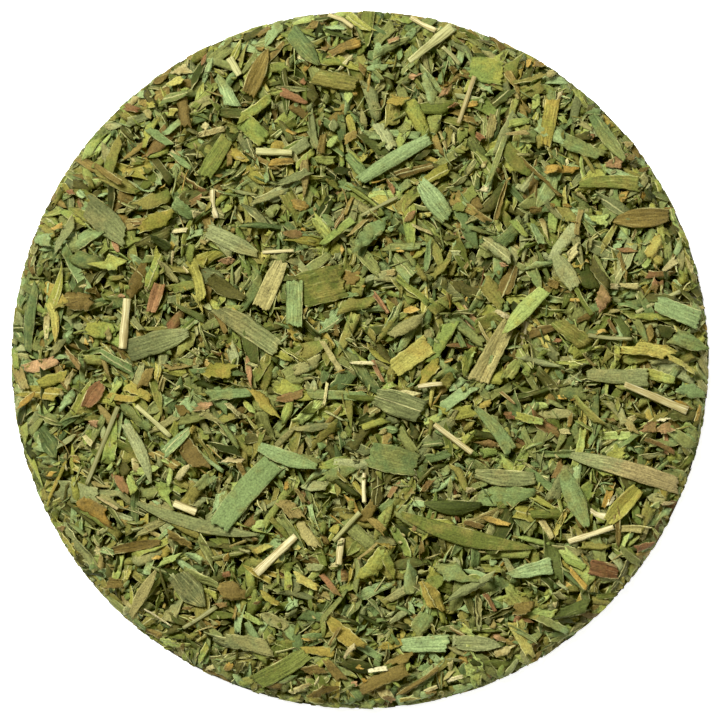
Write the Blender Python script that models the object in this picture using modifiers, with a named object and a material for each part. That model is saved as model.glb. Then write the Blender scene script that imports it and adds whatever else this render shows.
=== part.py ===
"""Cut and dried tarragon: a round, shallow bed of sifted leaf and stem cuttings.

The bed is a low mound of small cuttings, tangled and settled until they hold together. On it lie the
larger cuttings, each a loose piece of its own: strips of the narrow leaves, stubs of the stalk, and leaf
that has turned yellow or russet. Metres, +Z up. The origin is the middle of the bed's underside.
"""

import math
import random

import bmesh
import bpy
import numpy as np
from mathutils import Euler, Vector
from mathutils.bvhtree import BVHTree

MM = 0.001

# The bed: a disc that rises gently from a shoulder to its crown, and falls from the shoulder to the surface.
BED_RADIUS = 50.0 * MM
SHOULDER_RADIUS = 45.0 * MM
SHOULDER_HEIGHT = 5.6 * MM
CROWN_HEIGHT = 8.8 * MM
SHOULDER_SOFTNESS = 0.75
CORE_STEPS = 56
CORE_RINGS = 7

# The small cuttings that stand out of the bed: over its top, and in rows round its slope.
TOP_CUTTINGS = 116
TOP_LENGTH = (9.0 * MM, 14.0 * MM)
TOP_WIDTH = (2.4 * MM, 3.6 * MM)
TOP_SUNK = (-0.2 * MM, 0.5 * MM)
SLOPE_ROWS = ((45.9 * MM, 34), (48.1 * MM, 38))
SLOPE_LENGTH = (6.5 * MM, 9.5 * MM)
SLOPE_WIDTH = (2.2 * MM, 3.0 * MM)
SLOPE_SUNK = (-0.1 * MM, 0.35 * MM)
CUTTING_THICKNESS = 0.7 * MM
BED_TILT = math.radians(11)
BED_ROLL = math.radians(16)
GOLDEN_ANGLE = math.pi * (3 - math.sqrt(5))

# The loose pieces.
LEAF_THICKNESS = 0.6 * MM
SEAT_GAP = 0.3 * MM
CELL = 0.25 * MM
STIFFEST_BEND = 1 / (30 * MM)
STEEPEST_SEAT = 1.0
STEM_SIDES = 8

# Colours as linear red, green, blue.
TINTS = {
    "green": (0.130, 0.245, 0.082),
    "bright": (0.215, 0.340, 0.095),
    "grey": (0.165, 0.220, 0.100),
    "olive": (0.185, 0.180, 0.045),
    "dark": (0.090, 0.130, 0.040),
    "brown": (0.200, 0.150, 0.052),
    "yellow": (0.360, 0.335, 0.060),
    "russet": (0.330, 0.130, 0.055),
    "straw": (0.540, 0.480, 0.210),
}

# Loose leaf cuttings, lowest first: tint, place (x, y) and direction in plan, length, width, how far each end
# narrows (0 is cut square, 1 is a point), how far the strip bows sideways and how deep it is folded, as
# shares of its length and width. Millimetres and degrees.
LEAVES = [
    ("olive", 15.5, -24.4, -14, 19.5, 2.5, 0.75, 0.95, -0.05, 0.10),
    ("brown", 38.2, -16.0, -16, 16.4, 2.5, 0.60, 0.10, 0.02, 0.06),
    ("grey", -23.2, -22.6, -15, 18.2, 1.8, 0.70, 0.80, -0.05, 0.25),
    ("green", -16.4, -19.3, 50, 11.2, 3.1, 0.10, 0.10, 0.02, 0.30),
    ("green", -28.9, 2.4, 17, 8.6, 3.0, 0.35, 0.15, 0.04, 0.12),
    ("grey", -36.3, 19.8, -42, 7.0, 3.6, 0.40, 0.15, 0.00, 0.05),
    ("grey", -16.2, 4.6, -33, 10.0, 2.8, 0.70, 0.30, 0.00, 0.15),
    ("bright", -12.8, 10.6, 65, 6.8, 2.3, 0.05, 0.10, 0.00, 0.10),
    ("olive", -5.4, 10.6, -6, 4.6, 3.8, 0.05, 0.05, 0.00, 0.05),
    ("bright", -9.3, 8.0, 90, 5.6, 2.4, 0.05, 0.05, 0.00, 0.08),
    ("grey", -18.2, 16.8, -26, 7.3, 2.4, 0.05, 0.50, 0.00, 0.20),
    ("olive", -20.7, 28.9, 58, 5.6, 2.4, 0.10, 0.10, 0.00, 0.05),
    ("green", -8.0, 44.6, -52, 6.6, 2.8, 0.15, 0.45, 0.03, 0.15),
    ("brown", -14.5, 41.2, 67, 6.8, 2.2, 0.45, 0.60, 0.03, 0.15),
    ("olive", -3.6, 39.9, -12, 5.9, 2.6, 0.10, 0.20, 0.00, 0.10),
    ("green", -47.0, 6.0, 83, 9.6, 1.6, 0.40, 0.50, 0.03, 0.15),
    ("bright", 5.0, 28.6, 31, 11.6, 1.8, 0.25, 0.35, 0.02, 0.25),
    ("grey", 10.6, 22.8, -52, 5.8, 2.8, 0.30, 0.15, 0.00, 0.15),
    ("yellow", 18.3, 41.4, -20, 4.0, 3.6, 0.25, 0.25, 0.00, 0.05),
    ("yellow", 27.0, 34.0, 80, 6.7, 2.1, 0.15, 0.20, 0.00, 0.10),
    ("green", 35.4, 31.4, -55, 7.8, 2.0, 0.20, 0.35, 0.02, 0.20),
    ("olive", 35.4, 25.2, 1, 8.2, 2.1, 0.30, 0.20, 0.03, 0.15),
    ("olive", 40.6, 20.4, 6, 8.0, 2.8, 0.20, 0.30, 0.00, 0.05),
    ("brown", 19.2, 1.2, 62, 9.6, 3.1, 0.35, 0.15, 0.02, 0.10),
    ("bright", 23.6, 7.0, 47, 8.3, 2.3, 0.30, 0.15, 0.03, 0.20),
    ("yellow", 7.2, 0.4, 36, 5.5, 3.0, 0.05, 0.05, 0.00, 0.05),
    ("green", 45.6, 6.9, -18, 6.0, 2.5, 0.10, 0.10, 0.00, 0.10),
    ("green", 29.4, 12.5, -58, 4.9, 2.6, 0.35, 0.25, 0.00, 0.15),
    ("dark", 4.6, -14.2, -14, 5.9, 4.0, 0.20, 0.20, 0.00, 0.05),
    ("grey", 5.4, -6.2, -20, 6.5, 3.5, 0.15, 0.25, 0.00, 0.15),
    ("green", 30.6, -19.9, -66, 8.1, 2.7, 0.45, 0.45, 0.02, 0.15),
    ("bright", 19.1, -9.8, -50, 7.5, 2.0, 0.55, 0.15, 0.02, 0.15),
    ("grey", 20.6, -16.6, -5, 8.2, 2.1, 0.30, 0.25, -0.02, 0.30),
    ("green", 36.6, -2.4, -3, 8.2, 2.3, 0.30, 0.20, 0.02, 0.20),
    ("dark", 13.3, -20.6, -2, 7.9, 1.9, 0.50, 0.35, -0.06, 0.25),
    ("bright", 24.4, -30.0, 12, 5.5, 2.3, 0.05, 0.05, 0.00, 0.10),
    ("bright", 9.2, -40.6, 3, 6.0, 2.4, 0.25, 0.10, 0.00, 0.10),
    ("grey", 16.7, -40.6, -3, 6.1, 2.0, 0.35, 0.20, 0.02, 0.30),
    ("yellow", -11.2, -44.2, 31, 8.2, 2.4, 0.15, 0.10, 0.00, 0.10),
    ("olive", -31.0, -33.6, 61, 7.9, 1.9, 0.45, 0.35, 0.02, 0.20),
    ("dark", -24.2, -33.0, -50, 5.6, 3.5, 0.45, 0.40, 0.00, 0.20),
    ("bright", -10.2, -13.7, -19, 8.6, 2.1, 0.10, 0.45, -0.04, 0.15),
    ("grey", -31.6, -13.4, -67, 9.0, 1.5, 0.30, 0.80, 0.04, 0.25),
    ("brown", -31.8, -26.6, 10, 6.8, 1.6, 0.35, 0.30, 0.00, 0.20),
    ("russet", -29.2, 8.9, 72, 3.8, 1.6, 0.20, 0.35, 0.02, 0.15),
    ("russet", -38.1, -5.0, 55, 3.6, 2.1, 0.30, 0.45, 0.00, 0.20),
    ("russet", 35.0, -30.0, -15, 3.9, 2.4, 0.35, 0.30, 0.00, 0.05),
    ("yellow", 37.6, -20.8, 48, 6.0, 2.2, 0.20, 0.35, 0.03, 0.10),
]

# Loose stubs of stalk, lowest first: place (x, y) and direction in plan, length and diameter.
STEMS = [
    (-33.6, 5.2, 85, 7.6, 1.15),
    (-12.0, -27.8, 43, 8.2, 1.25),
    (-12.3, 29.7, -3, 5.6, 1.00),
    (-18.0, 42.0, -58, 3.5, 1.15),
    (-25.0, -21.1, -23, 3.9, 1.10),
    (42.3, -5.4, -23, 10.4, 1.15),
    (33.0, -24.9, 18, 7.2, 0.95),
    (13.3, -11.2, -37, 7.2, 0.85),
    (10.1, 45.1, 39, 9.4, 1.40),
    (15.2, 37.2, 71, 7.5, 0.70),
    (-36.8, -12.2, 68, 12.4, 0.75),
]


def surface_height(radius):
    """Height of the bed's core at a distance from its middle: a shallow dome, then the slope beyond the shoulder."""
    dome = CROWN_HEIGHT - (CROWN_HEIGHT - SHOULDER_HEIGHT) * (radius / SHOULDER_RADIUS) ** 2
    slope = np.clip((BED_RADIUS - radius) / (BED_RADIUS - SHOULDER_RADIUS), 0, None)
    return np.minimum(dome, SHOULDER_HEIGHT * slope**SHOULDER_SOFTNESS)


def surface_normal(radius):
    """Outward and upward parts of the core's normal at a distance from its middle."""
    step = 0.2 * MM
    inner, outer = max(radius - step, 0.0), min(radius + step, BED_RADIUS)
    fall = float(surface_height(inner) - surface_height(outer)) / (outer - inner)
    length = math.hypot(fall, 1.0)
    return fall / length, 1.0 / length


def material(tint):
    """The finish of one kind of piece, made once."""
    found = bpy.data.materials.get(tint)
    if found:
        return found
    made = bpy.data.materials.new(tint)
    made.use_nodes = True
    shader = made.node_tree.nodes["Principled BSDF"]
    shader.inputs["Base Color"].default_value = (*TINTS[tint], 1.0)
    shader.inputs["Roughness"].default_value = 0.75
    shader.inputs["Metallic"].default_value = 0.0
    made.diffuse_color = (*TINTS[tint], 1.0)
    return made


def new_object(name, mesh, collection, tint):
    """An object in the collection, with the tint's material."""
    obj = bpy.data.objects.new(name, mesh)
    mesh.materials.append(material(tint))
    collection.objects.link(obj)
    return obj


def narrowing(along, tail, tip):
    """Share of the full width at a place along the strip, from -1 to 1, as its two ends narrow."""
    towards_tip = np.clip(along, 0, 1) ** 1.8
    towards_tail = np.clip(-along, 0, 1) ** 1.8
    return (1 - tip * towards_tip) * (1 - tail * towards_tail)


def leaf_strip(name, shape, segments, rows, draw):
    """A strip of leaf as an open sheet of triangles: a grid whose points follow the strip's outline and folds."""
    length, width, tail, tip, bow, fold, bend = shape
    mesh = bpy.data.meshes.new(name)
    grid = bmesh.new()
    bmesh.ops.create_grid(grid, x_segments=segments, y_segments=rows, size=1.0)
    bmesh.ops.triangulate(grid, faces=grid.faces)
    skew = {1: draw.uniform(-0.5, 0.5), -1: draw.uniform(-0.5, 0.5)}
    notch = {1: draw.uniform(-0.25, 0.15), -1: draw.uniform(-0.25, 0.15)}
    wave = draw.uniform(0.5, 1.2) * draw.choice((-1, 1))
    phase = draw.uniform(0, math.tau)
    for vertex in grid.verts:
        along, across = vertex.co.x, vertex.co.y
        half = width / 2 * float(narrowing(along, tail, tip))
        end = 1 if along > 0 else -1
        cut = (skew[end] * across + notch[end] * (1 - abs(across))) * half * abs(along) ** 6
        ripple = 0.06 * width * wave * across * math.sin(math.pi * along + phase)
        vertex.co.x = along * length / 2 + cut
        vertex.co.y = across * half + bow * length * (1 - along**2)
        vertex.co.z = fold * half * (abs(across) - 0.5) + bend * (along * length / 2) ** 2 + ripple
    grid.to_mesh(mesh)
    grid.free()
    return mesh


def thicken(obj, thickness):
    """Gives a sheet its thickness, half to each side."""
    shell = obj.modifiers.new("thickness", "SOLIDIFY")
    shell.thickness = thickness
    shell.offset = 0
    return obj


def as_mesh(obj):
    """A new mesh of the object with its modifiers applied."""
    graph = bpy.context.evaluated_depsgraph_get()
    graph.update()
    return bpy.data.meshes.new_from_object(obj.evaluated_get(graph))


def outer_skin(mesh):
    """Deletes every closed surface of the mesh but the largest, which fills the hollows that the union sealed."""
    skin = bmesh.new()
    skin.from_mesh(mesh)
    left, islands = set(skin.verts), []
    while left:
        found, edge = set(), [left.pop()]
        while edge:
            vertex = edge.pop()
            found.add(vertex)
            for link in vertex.link_edges:
                other = link.other_vert(vertex)
                if other in left:
                    left.remove(other)
                    edge.append(other)
        islands.append(found)
    largest = max(islands, key=len)
    spare = [vertex for island in islands if island is not largest for vertex in island]
    bmesh.ops.delete(skin, geom=spare, context="VERTS")
    skin.to_mesh(mesh)
    skin.free()


def bed_core(collection):
    """The settled mass under the cuttings: the bed's outline turned round its axis."""
    radii = np.concatenate([
        np.linspace(0, SHOULDER_RADIUS * 0.94, CORE_RINGS - 2)[1:],
        np.linspace(SHOULDER_RADIUS, BED_RADIUS, 4)[:-1],
    ])
    outline = [(BED_RADIUS, 0.0)]
    outline += [(r, float(surface_height(r))) for r in radii[::-1]]
    outline = [(0.0, CROWN_HEIGHT), *reversed(outline), (0.0, 0.0)]
    mesh = bpy.data.meshes.new("herb_bed")
    mesh.from_pydata([(x, 0, z) for x, z in outline], [(i, i + 1) for i in range(len(outline) - 1)], [])
    core = new_object("herb_bed", mesh, collection, "green")
    turn = core.modifiers.new("turn", "SCREW")
    turn.axis = "Z"
    turn.steps = turn.render_steps = CORE_STEPS
    turn.use_merge_vertices = True
    turn.merge_threshold = 0.00005
    return core


def bed_cutting(name, radius, bearing, heading, size, sunk, draw, collection):
    """One small cutting, sunk into the bed's surface and lying along it."""
    length, width = size
    shape = (
        length,
        width,
        draw.choice((0.05, 0.1, 0.3, 0.7)),
        draw.choice((0.05, 0.1, 0.5, 0.85)),
        draw.uniform(-0.04, 0.04),
        draw.uniform(0.0, 0.25),
        draw.uniform(-1, 1) * 0.4 * STIFFEST_BEND,
    )
    sheet = leaf_strip(name, shape, 2, 1, draw)
    cutting = thicken(new_object(name, sheet, collection, "green"), CUTTING_THICKNESS)
    outward, upward = surface_normal(radius)
    lean = math.atan2(outward, upward)
    # Roll and tilt are about the strip's own axes; lean then lays it on the slope, and bearing turns it round.
    turned = Euler((draw.uniform(-BED_ROLL, BED_ROLL), draw.uniform(-BED_TILT, BED_TILT), heading)).to_matrix()
    placed = Euler((0, lean, bearing)).to_matrix() @ turned
    centre = Vector((radius * math.cos(bearing), radius * math.sin(bearing), float(surface_height(radius))))
    centre += placed @ Vector((0, 0, 1)) * draw.uniform(*sunk)
    corners = [placed @ vertex.co + centre for vertex in sheet.vertices]
    reach = max(math.hypot(corner.x, corner.y) for corner in corners) + CUTTING_THICKNESS / 2
    depth = min(corner.z for corner in corners) - CUTTING_THICKNESS / 2
    inward = Vector((math.cos(bearing), math.sin(bearing), 0)) * max(0.0, reach - BED_RADIUS)
    cutting.matrix_world = placed.to_4x4()
    cutting.location = centre - inward + Vector((0, 0, max(0.0, 0.05 * MM - depth)))


def build_bed(collection):
    """The core with its cuttings joined to it, as one body."""
    draw = random.Random(11)
    core = bed_core(collection)
    loose = bpy.data.collections.new("bed_cuttings")
    bpy.context.scene.collection.children.link(loose)
    for number in range(TOP_CUTTINGS):
        radius = SHOULDER_RADIUS * math.sqrt((number + 0.5) / TOP_CUTTINGS) * draw.uniform(0.97, 0.995)
        bearing = number * GOLDEN_ANGLE
        size = draw.uniform(*TOP_LENGTH), draw.uniform(*TOP_WIDTH)
        heading = draw.uniform(0, math.pi)
        bed_cutting(f"top_{number}", radius, bearing, heading, size, TOP_SUNK, draw, loose)
    for row, (radius, count) in enumerate(SLOPE_ROWS):
        for number in range(count):
            bearing = math.tau * (number + 0.5 * row + draw.uniform(-0.2, 0.2)) / count
            size = draw.uniform(*SLOPE_LENGTH), draw.uniform(*SLOPE_WIDTH)
            heading = math.pi / 2 + draw.uniform(-0.5, 0.5)
            name = f"slope_{row}_{number}"
            bed_cutting(name, radius, bearing, heading, size, SLOPE_SUNK, draw, loose)
    join = core.modifiers.new("join", "BOOLEAN")
    join.operation = "UNION"
    join.operand_type = "COLLECTION"
    join.collection = loose
    join.solver = "MANIFOLD"
    joined = as_mesh(core)
    core.modifiers.clear()
    core.data = joined
    for cutting in list(loose.objects):
        bpy.data.objects.remove(cutting)
    bpy.data.collections.remove(loose)
    outer_skin(joined)
    return core


class Ground:
    """Heights of all that has been laid down so far, cell by cell, so that the next piece can rest on it."""

    def __init__(self, bed):
        self.cells = int(2 * BED_RADIUS / CELL) + 9
        tree = BVHTree.FromObject(bed, bpy.context.evaluated_depsgraph_get())
        self.top = np.zeros((self.cells, self.cells))
        down, above = Vector((0, 0, -1)), 2 * CROWN_HEIGHT
        for row in range(self.cells):
            y = (row - self.cells // 2) * CELL
            for column in range(self.cells):
                x = (column - self.cells // 2) * CELL
                hit = tree.ray_cast(Vector((x, y, above)), down)[0]
                if hit:
                    self.top[row, column] = hit.z

    def places(self, x, y, turn, along, across):
        """Rows and columns of the cells under a piece's own points."""
        east = x + along * math.cos(turn) - across * math.sin(turn)
        north = y + along * math.sin(turn) + across * math.cos(turn)
        column = np.clip(np.rint(east / CELL).astype(int) + self.cells // 2, 0, self.cells - 1)
        row = np.clip(np.rint(north / CELL).astype(int) + self.cells // 2, 0, self.cells - 1)
        return row, column

    def seat(self, x, y, turn, along, across, underside, may_bend):
        """How a piece comes to rest: height, slopes along and across, and bend, by least squares on what is below.

        underside is how far each point of the piece's lower face is above its middle plane."""
        row, column = self.places(x, y, turn, along, across)
        below = self.top[row, column] - underside
        terms = [np.ones_like(along), along, across] + ([along**2] if may_bend else [])
        fitted = np.linalg.lstsq(np.stack(terms, 1), below, rcond=None)[0]
        slope_along, slope_across = np.clip(fitted[1:3], -STEEPEST_SEAT, STEEPEST_SEAT)
        bend = float(np.clip(fitted[3], -STIFFEST_BEND, STIFFEST_BEND)) if may_bend else 0.0
        rest = slope_along * along + slope_across * across + bend * along**2
        height = float((below - rest).max()) + SEAT_GAP
        return height, float(slope_along), float(slope_across), bend

    def cover(self, obj):
        """Raises the cells under an object to its upper side."""
        tree = BVHTree.FromObject(obj, bpy.context.evaluated_depsgraph_get())
        to_own, to_world = obj.matrix_world.inverted(), obj.matrix_world
        corners = [to_world @ Vector(corner) for corner in obj.bound_box]
        low = [min(c[axis] for c in corners) for axis in (0, 1)]
        high = [max(c[axis] for c in corners) for axis in (0, 1)]
        middle = self.cells // 2
        down = to_own.to_3x3() @ Vector((0, 0, -1))
        for row in range(math.floor(low[1] / CELL) + middle, math.ceil(high[1] / CELL) + middle + 1):
            for column in range(math.floor(low[0] / CELL) + middle, math.ceil(high[0] / CELL) + middle + 1):
                start = Vector(((column - middle) * CELL, (row - middle) * CELL, 0.05))
                hit = tree.ray_cast(to_own @ start, down)[0]
                if hit:
                    self.top[row, column] = max(self.top[row, column], (to_world @ hit).z)


def set_down(obj, x, y, turn, height, slope_along, slope_across):
    """Places a piece flat on its seat: turned in plan, then leaned to the seat's two slopes."""
    lean = Euler((math.atan(slope_across), -math.atan(slope_along), 0)).to_matrix()
    obj.matrix_world = (Euler((0, 0, turn)).to_matrix() @ lean).to_4x4()
    obj.location = (x, y, height)
    bpy.context.view_layer.update()


def footprint(length, width, margin):
    """Points spread over a strip, out to a margin past its edges, as along and across."""
    steps = [max(3, round((size + 2 * margin) / (0.8 * CELL))) for size in (length, width)]
    along = np.linspace(-length / 2 - margin, length / 2 + margin, steps[0])
    across = np.linspace(-width / 2 - margin, width / 2 + margin, steps[1])
    grid = np.meshgrid(along, across, indexing="ij")
    return grid[0].ravel(), grid[1].ravel()


def lay_leaf(number, row, ground, collection, draw):
    """One loose leaf cutting, bent to what it lies on."""
    tint, x, y, turn, length, width, tail, tip, bow, fold = row
    x, y, length, width, turn = x * MM, y * MM, length * MM, width * MM, math.radians(turn)
    along, across = footprint(length, width, SEAT_GAP)
    within = narrowing(np.clip(2 * along / length, -1, 1), tail, tip) * width / 2 + SEAT_GAP
    kept = np.abs(across) <= within
    along, across = along[kept], across[kept]
    middle = bow * length * (1 - np.clip(2 * along / length, -1, 1) ** 2)
    underside = fold * (np.abs(across) - width / 4) - LEAF_THICKNESS / 2
    height, slope_along, slope_across, bend = ground.seat(
        x, y, turn, along, across + middle, underside, True
    )
    shape = (length, width, tail, tip, bow, fold, bend)
    segments = max(4, min(8, round(length / (2.0 * MM))))
    name = f"{tint}_leaf_{number:02d}"
    sheet = leaf_strip(name, shape, segments, 2, draw)
    leaf = thicken(new_object(name, sheet, collection, tint), LEAF_THICKNESS)
    set_down(leaf, x, y, turn, height, slope_along, slope_across)
    ground.cover(leaf)


def lay_stem(number, row, ground, collection, draw):
    """One loose stub of stalk: a round stick, cut aslant at both ends."""
    x, y, turn, length, diameter = row
    x, y, length, diameter, turn = x * MM, y * MM, length * MM, diameter * MM, math.radians(turn)
    along, across = footprint(length, diameter, SEAT_GAP / 2)
    round_side = np.clip(1 - (2 * across / diameter) ** 2, 0, 1)
    underside = -diameter / 2 * np.sqrt(round_side)
    height, slope_along, slope_across, _ = ground.seat(x, y, turn, along, across, underside, False)
    name = f"straw_stem_{number:02d}"
    mesh = bpy.data.meshes.new(name)
    stick = bmesh.new()
    bmesh.ops.create_cone(
        stick, cap_ends=True, segments=STEM_SIDES, radius1=diameter / 2, radius2=diameter / 2, depth=length
    )
    slants = [draw.uniform(-0.8, 0.8) for _ in range(2)]
    for vertex in stick.verts:
        lengthwise, up, side = vertex.co.z, -vertex.co.x, vertex.co.y
        end = 0 if lengthwise > 0 else 1
        slant = slants[end] * side - abs(slants[end]) * diameter / 2 * (1 - 2 * end)
        vertex.co = Vector((lengthwise + slant, side, up))
    stick.to_mesh(mesh)
    stick.free()
    stem = new_object(name, mesh, collection, "straw")
    mesh.shade_smooth()
    mesh.set_sharp_from_angle(angle=math.radians(50))
    set_down(stem, x, y, turn, height, slope_along, 0.0)
    ground.cover(stem)


def main():
    for obj in list(bpy.data.objects):
        bpy.data.objects.remove(obj)
    herb = bpy.data.collections.new("dried_tarragon")
    bpy.context.scene.collection.children.link(herb)
    bed = build_bed(herb)
    ground = Ground(bed)
    draw = random.Random(23)
    for number, row in enumerate(LEAVES, 1):
        lay_leaf(number, row, ground, herb, draw)
    for number, row in enumerate(STEMS, 1):
        lay_stem(number, row, ground, herb, draw)


main()
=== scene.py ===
"""A round, shallow heap of dried, cut tarragon, finished over its solid frame.

The frame holds the heap's bed and the larger cuttings that lie loose on it. Here the bed becomes some
thousands of small cuttings laid down one by one, and each loose cutting gets its curl, torn ends, veins and
colour. Lengths are in millimetres until a mesh is made.
"""

import math

import bpy
import numpy as np
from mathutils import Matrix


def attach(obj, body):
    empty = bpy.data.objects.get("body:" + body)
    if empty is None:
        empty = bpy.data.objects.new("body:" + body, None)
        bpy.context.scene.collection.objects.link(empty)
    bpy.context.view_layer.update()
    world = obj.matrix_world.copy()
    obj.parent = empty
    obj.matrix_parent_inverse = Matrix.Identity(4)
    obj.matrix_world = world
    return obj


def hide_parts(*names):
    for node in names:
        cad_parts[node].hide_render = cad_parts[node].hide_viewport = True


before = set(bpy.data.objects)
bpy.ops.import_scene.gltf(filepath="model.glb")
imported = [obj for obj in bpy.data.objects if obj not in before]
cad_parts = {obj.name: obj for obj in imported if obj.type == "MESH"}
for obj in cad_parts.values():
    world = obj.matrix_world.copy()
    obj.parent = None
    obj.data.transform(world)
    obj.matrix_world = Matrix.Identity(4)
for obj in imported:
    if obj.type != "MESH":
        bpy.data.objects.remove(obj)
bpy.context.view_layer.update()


# ---- The white table, the light and the camera --------------------------------------------------------
# A plain white table top, faintly lit from within, under a large lamp high at the upper left and white walls
# that fill the shadows in. The camera looks straight down from so far off that upper cuttings aren't pushed
# outwards, and the view warms the darkest tones.

MM = 0.001
TABLE_SIZE = 6000.0
TABLE_STEPS = 4
TABLE_WHITE = (0.92, 0.92, 0.91, 1.0)
TABLE_ROUGHNESS = 0.8
TABLE_GLOW = 0.9
LAMP_PLACE = (-900.0, 1070.0, 2900.0)
LAMP_SIZE = 900.0
LAMP_POWER = 174.0
WALL_COLOUR = (1.0, 0.995, 0.98, 1.0)
WALL_LIGHT = 0.235
CAMERA_HEIGHT = 2400.0
CAMERA_NEAR = 10.0
VIEW_HALF_WIDTH = 51.6
SENSOR = 36.0
DARKS_WARMED = 0.0035  # taken from blue


class Wire:
    """A socket of a material's node tree. Python's operators on it add Math nodes."""

    def __init__(self, finish, socket):
        self.finish, self.socket = finish, socket

    def maths(self, operation, *others):
        return self.finish.node("ShaderNodeMath", {"operation": operation}, dict(enumerate((self, *others))))

    def __add__(self, other):
        return self.maths("ADD", other)

    def __mul__(self, other):
        return self.maths("MULTIPLY", other)

    def __sub__(self, other):
        return self.maths("SUBTRACT", other)

    def __rsub__(self, other):
        return (self * -1.0) + other

    def __pow__(self, other):
        return self.maths("POWER", other)

    def __abs__(self):
        return self.maths("ABSOLUTE")

    __radd__, __rmul__ = __add__, __mul__

    def rise(self, low, high):
        """0 below low, 1 above high, and a smooth S between them."""
        settings = {"interpolation_type": "SMOOTHSTEP"}
        return self.finish.node("ShaderNodeMapRange", settings, {0: self, 1: low, 2: high, 3: 0.0, 4: 1.0})

    def output(self, name):
        """Another output of the same node."""
        return Wire(self.finish, self.socket.node.outputs[name])


def srgb(red, green, blue):
    """Linear colour of an 8-bit one."""
    share = np.array([red, green, blue]) / 255
    linear = np.where(share <= 0.04045, share / 12.92, ((share + 0.055) / 1.055) ** 2.4)
    return (*(float(part) for part in linear), 1.0)


class Finish:
    """A material, and the nodes that are added to it one by one."""

    def __init__(self, name):
        self.material = bpy.data.materials.new(name)
        self.material.use_nodes = True
        self.tree = self.material.node_tree
        self.shader = self.tree.nodes["Principled BSDF"]

    def node(self, kind, settings, values, output=0):
        """Adds a node: first its settings, a ramp's stops among them, and then its sockets."""
        made = self.tree.nodes.new(kind)
        for name, value in settings.items():
            if name == "stops":
                self.fill_ramp(made.color_ramp, value)
            else:
                setattr(made, name, value)
        self.fill(made, values)
        return Wire(self, made.outputs[output])

    def fill_ramp(self, ramp, stops):
        """Spreads the stops' colours evenly over a ramp."""
        for _ in range(len(stops) - 2):
            ramp.elements.new(0.5)
        for number, colour in enumerate(stops):
            ramp.elements[number].position = number / (len(stops) - 1)
            ramp.elements[number].color = colour

    def fill(self, node, values):
        """Links wires to a node's sockets, and sets plain values on them."""
        for name, value in values.items():
            if isinstance(value, Wire):
                self.tree.links.new(value.socket, node.inputs[name])
            else:
                node.inputs[name].default_value = value

    def mix(self, first, second, share, blend="MIX"):
        """Colour between first and second."""
        settings = {"data_type": "RGBA", "blend_type": blend, "clamp_factor": True}
        return self.node("ShaderNodeMix", settings, {0: share, 6: first, 7: second}, 2)

    def ramp(self, colours, share):
        """Colour along a row of 8-bit colours."""
        return self.node("ShaderNodeValToRGB", {"stops": [srgb(*colour) for colour in colours]}, {0: share})

    def noise(self, vector, scale, detail, roughness):
        values = {"Vector": vector, "Scale": scale, "Detail": detail, "Roughness": roughness}
        return self.node("ShaderNodeTexNoise", {}, values)

    def place(self):
        """Where a point of the object is, in metres."""
        return self.node("ShaderNodeTexCoord", {}, {}, "Object")

    def strip_map(self):
        """Millimetres along a strip. The Y output runs from -1 to 1 across it."""
        strip = self.node("ShaderNodeUVMap", {"uv_map": "strip"}, {})
        return self.node("ShaderNodeSeparateXYZ", {}, {0: strip})

    def mark(self, name):
        """What a mesh says of each of its points under a name."""
        return self.node("ShaderNodeAttribute", {"attribute_name": name}, {}, "Fac")

    def bump(self, height, strength, depth):
        """Relief of the given depth in millimetres, put on the shader's normal."""
        values = {"Strength": strength, "Distance": depth * MM, "Height": height}
        self.fill(self.shader, {"Normal": self.node("ShaderNodeBump", {}, values)})


def add_object(name, data):
    """Puts a mesh, a lamp or a camera in the scene, as an object at the origin."""
    made = bpy.data.objects.new(name, data)
    bpy.context.scene.collection.objects.link(made)
    return made


def add_mesh(name, points, faces, finish):
    """A mesh object of one finish, from points in millimetres and lists of each face's points."""
    mesh = bpy.data.meshes.new(name)
    mesh.from_pydata((points * MM).tolist(), [], faces)
    mesh.materials.append(finish.material)
    return add_object(name, mesh)


def grid_faces(nu, nv):
    """Quads over a grid of nu by nv points. Point (i, j) has number i nv + j."""
    i, j = np.meshgrid(np.arange(nu - 1), np.arange(nv - 1), indexing="ij")
    first = (i * nv + j).ravel()
    return np.stack([first, first + nv, first + nv + 1, first + 1], 1)


def flat_sheet(size, steps):
    """A square sheet at height 0: x and y run over the same even steps from -size/2 to size/2."""
    along = np.linspace(-size / 2, size / 2, steps + 1)
    x, y = np.meshgrid(along, along, indexing="ij")
    return np.stack([x, y, np.zeros_like(x)], -1).reshape(-1, 3)


white = Finish("white_table")
white.fill(white.shader, {
    "Base Color": TABLE_WHITE, "Roughness": TABLE_ROUGHNESS,
    "Emission Color": TABLE_WHITE, "Emission Strength": TABLE_GLOW,
})
table_faces = grid_faces(TABLE_STEPS + 1, TABLE_STEPS + 1).tolist()
table_top = add_mesh("table_top", flat_sheet(TABLE_SIZE, TABLE_STEPS), table_faces, white)

lamp_data = bpy.data.lights.new("lamp", "AREA")
lamp_data.shape = "DISK"
lamp_data.size = LAMP_SIZE * MM
lamp_data.energy = LAMP_POWER
lamp = add_object("lamp", lamp_data)
lamp.location = [place * MM for place in LAMP_PLACE]
east, north, height = LAMP_PLACE
lamp.rotation_euler = (0, math.atan2(math.hypot(east, north), height), math.atan2(north, east))

walls = bpy.data.worlds.new("white_walls")
walls.use_nodes = True
walls.node_tree.nodes["Background"].inputs["Color"].default_value = WALL_COLOUR
walls.node_tree.nodes["Background"].inputs["Strength"].default_value = WALL_LIGHT
bpy.context.scene.world = walls
view = bpy.context.scene.view_settings
view.view_transform = "Standard"
view.use_curve_mapping = True
view.curve_mapping.black_level = (0.0, 0.0, DARKS_WARMED)
view.curve_mapping.update()

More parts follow.
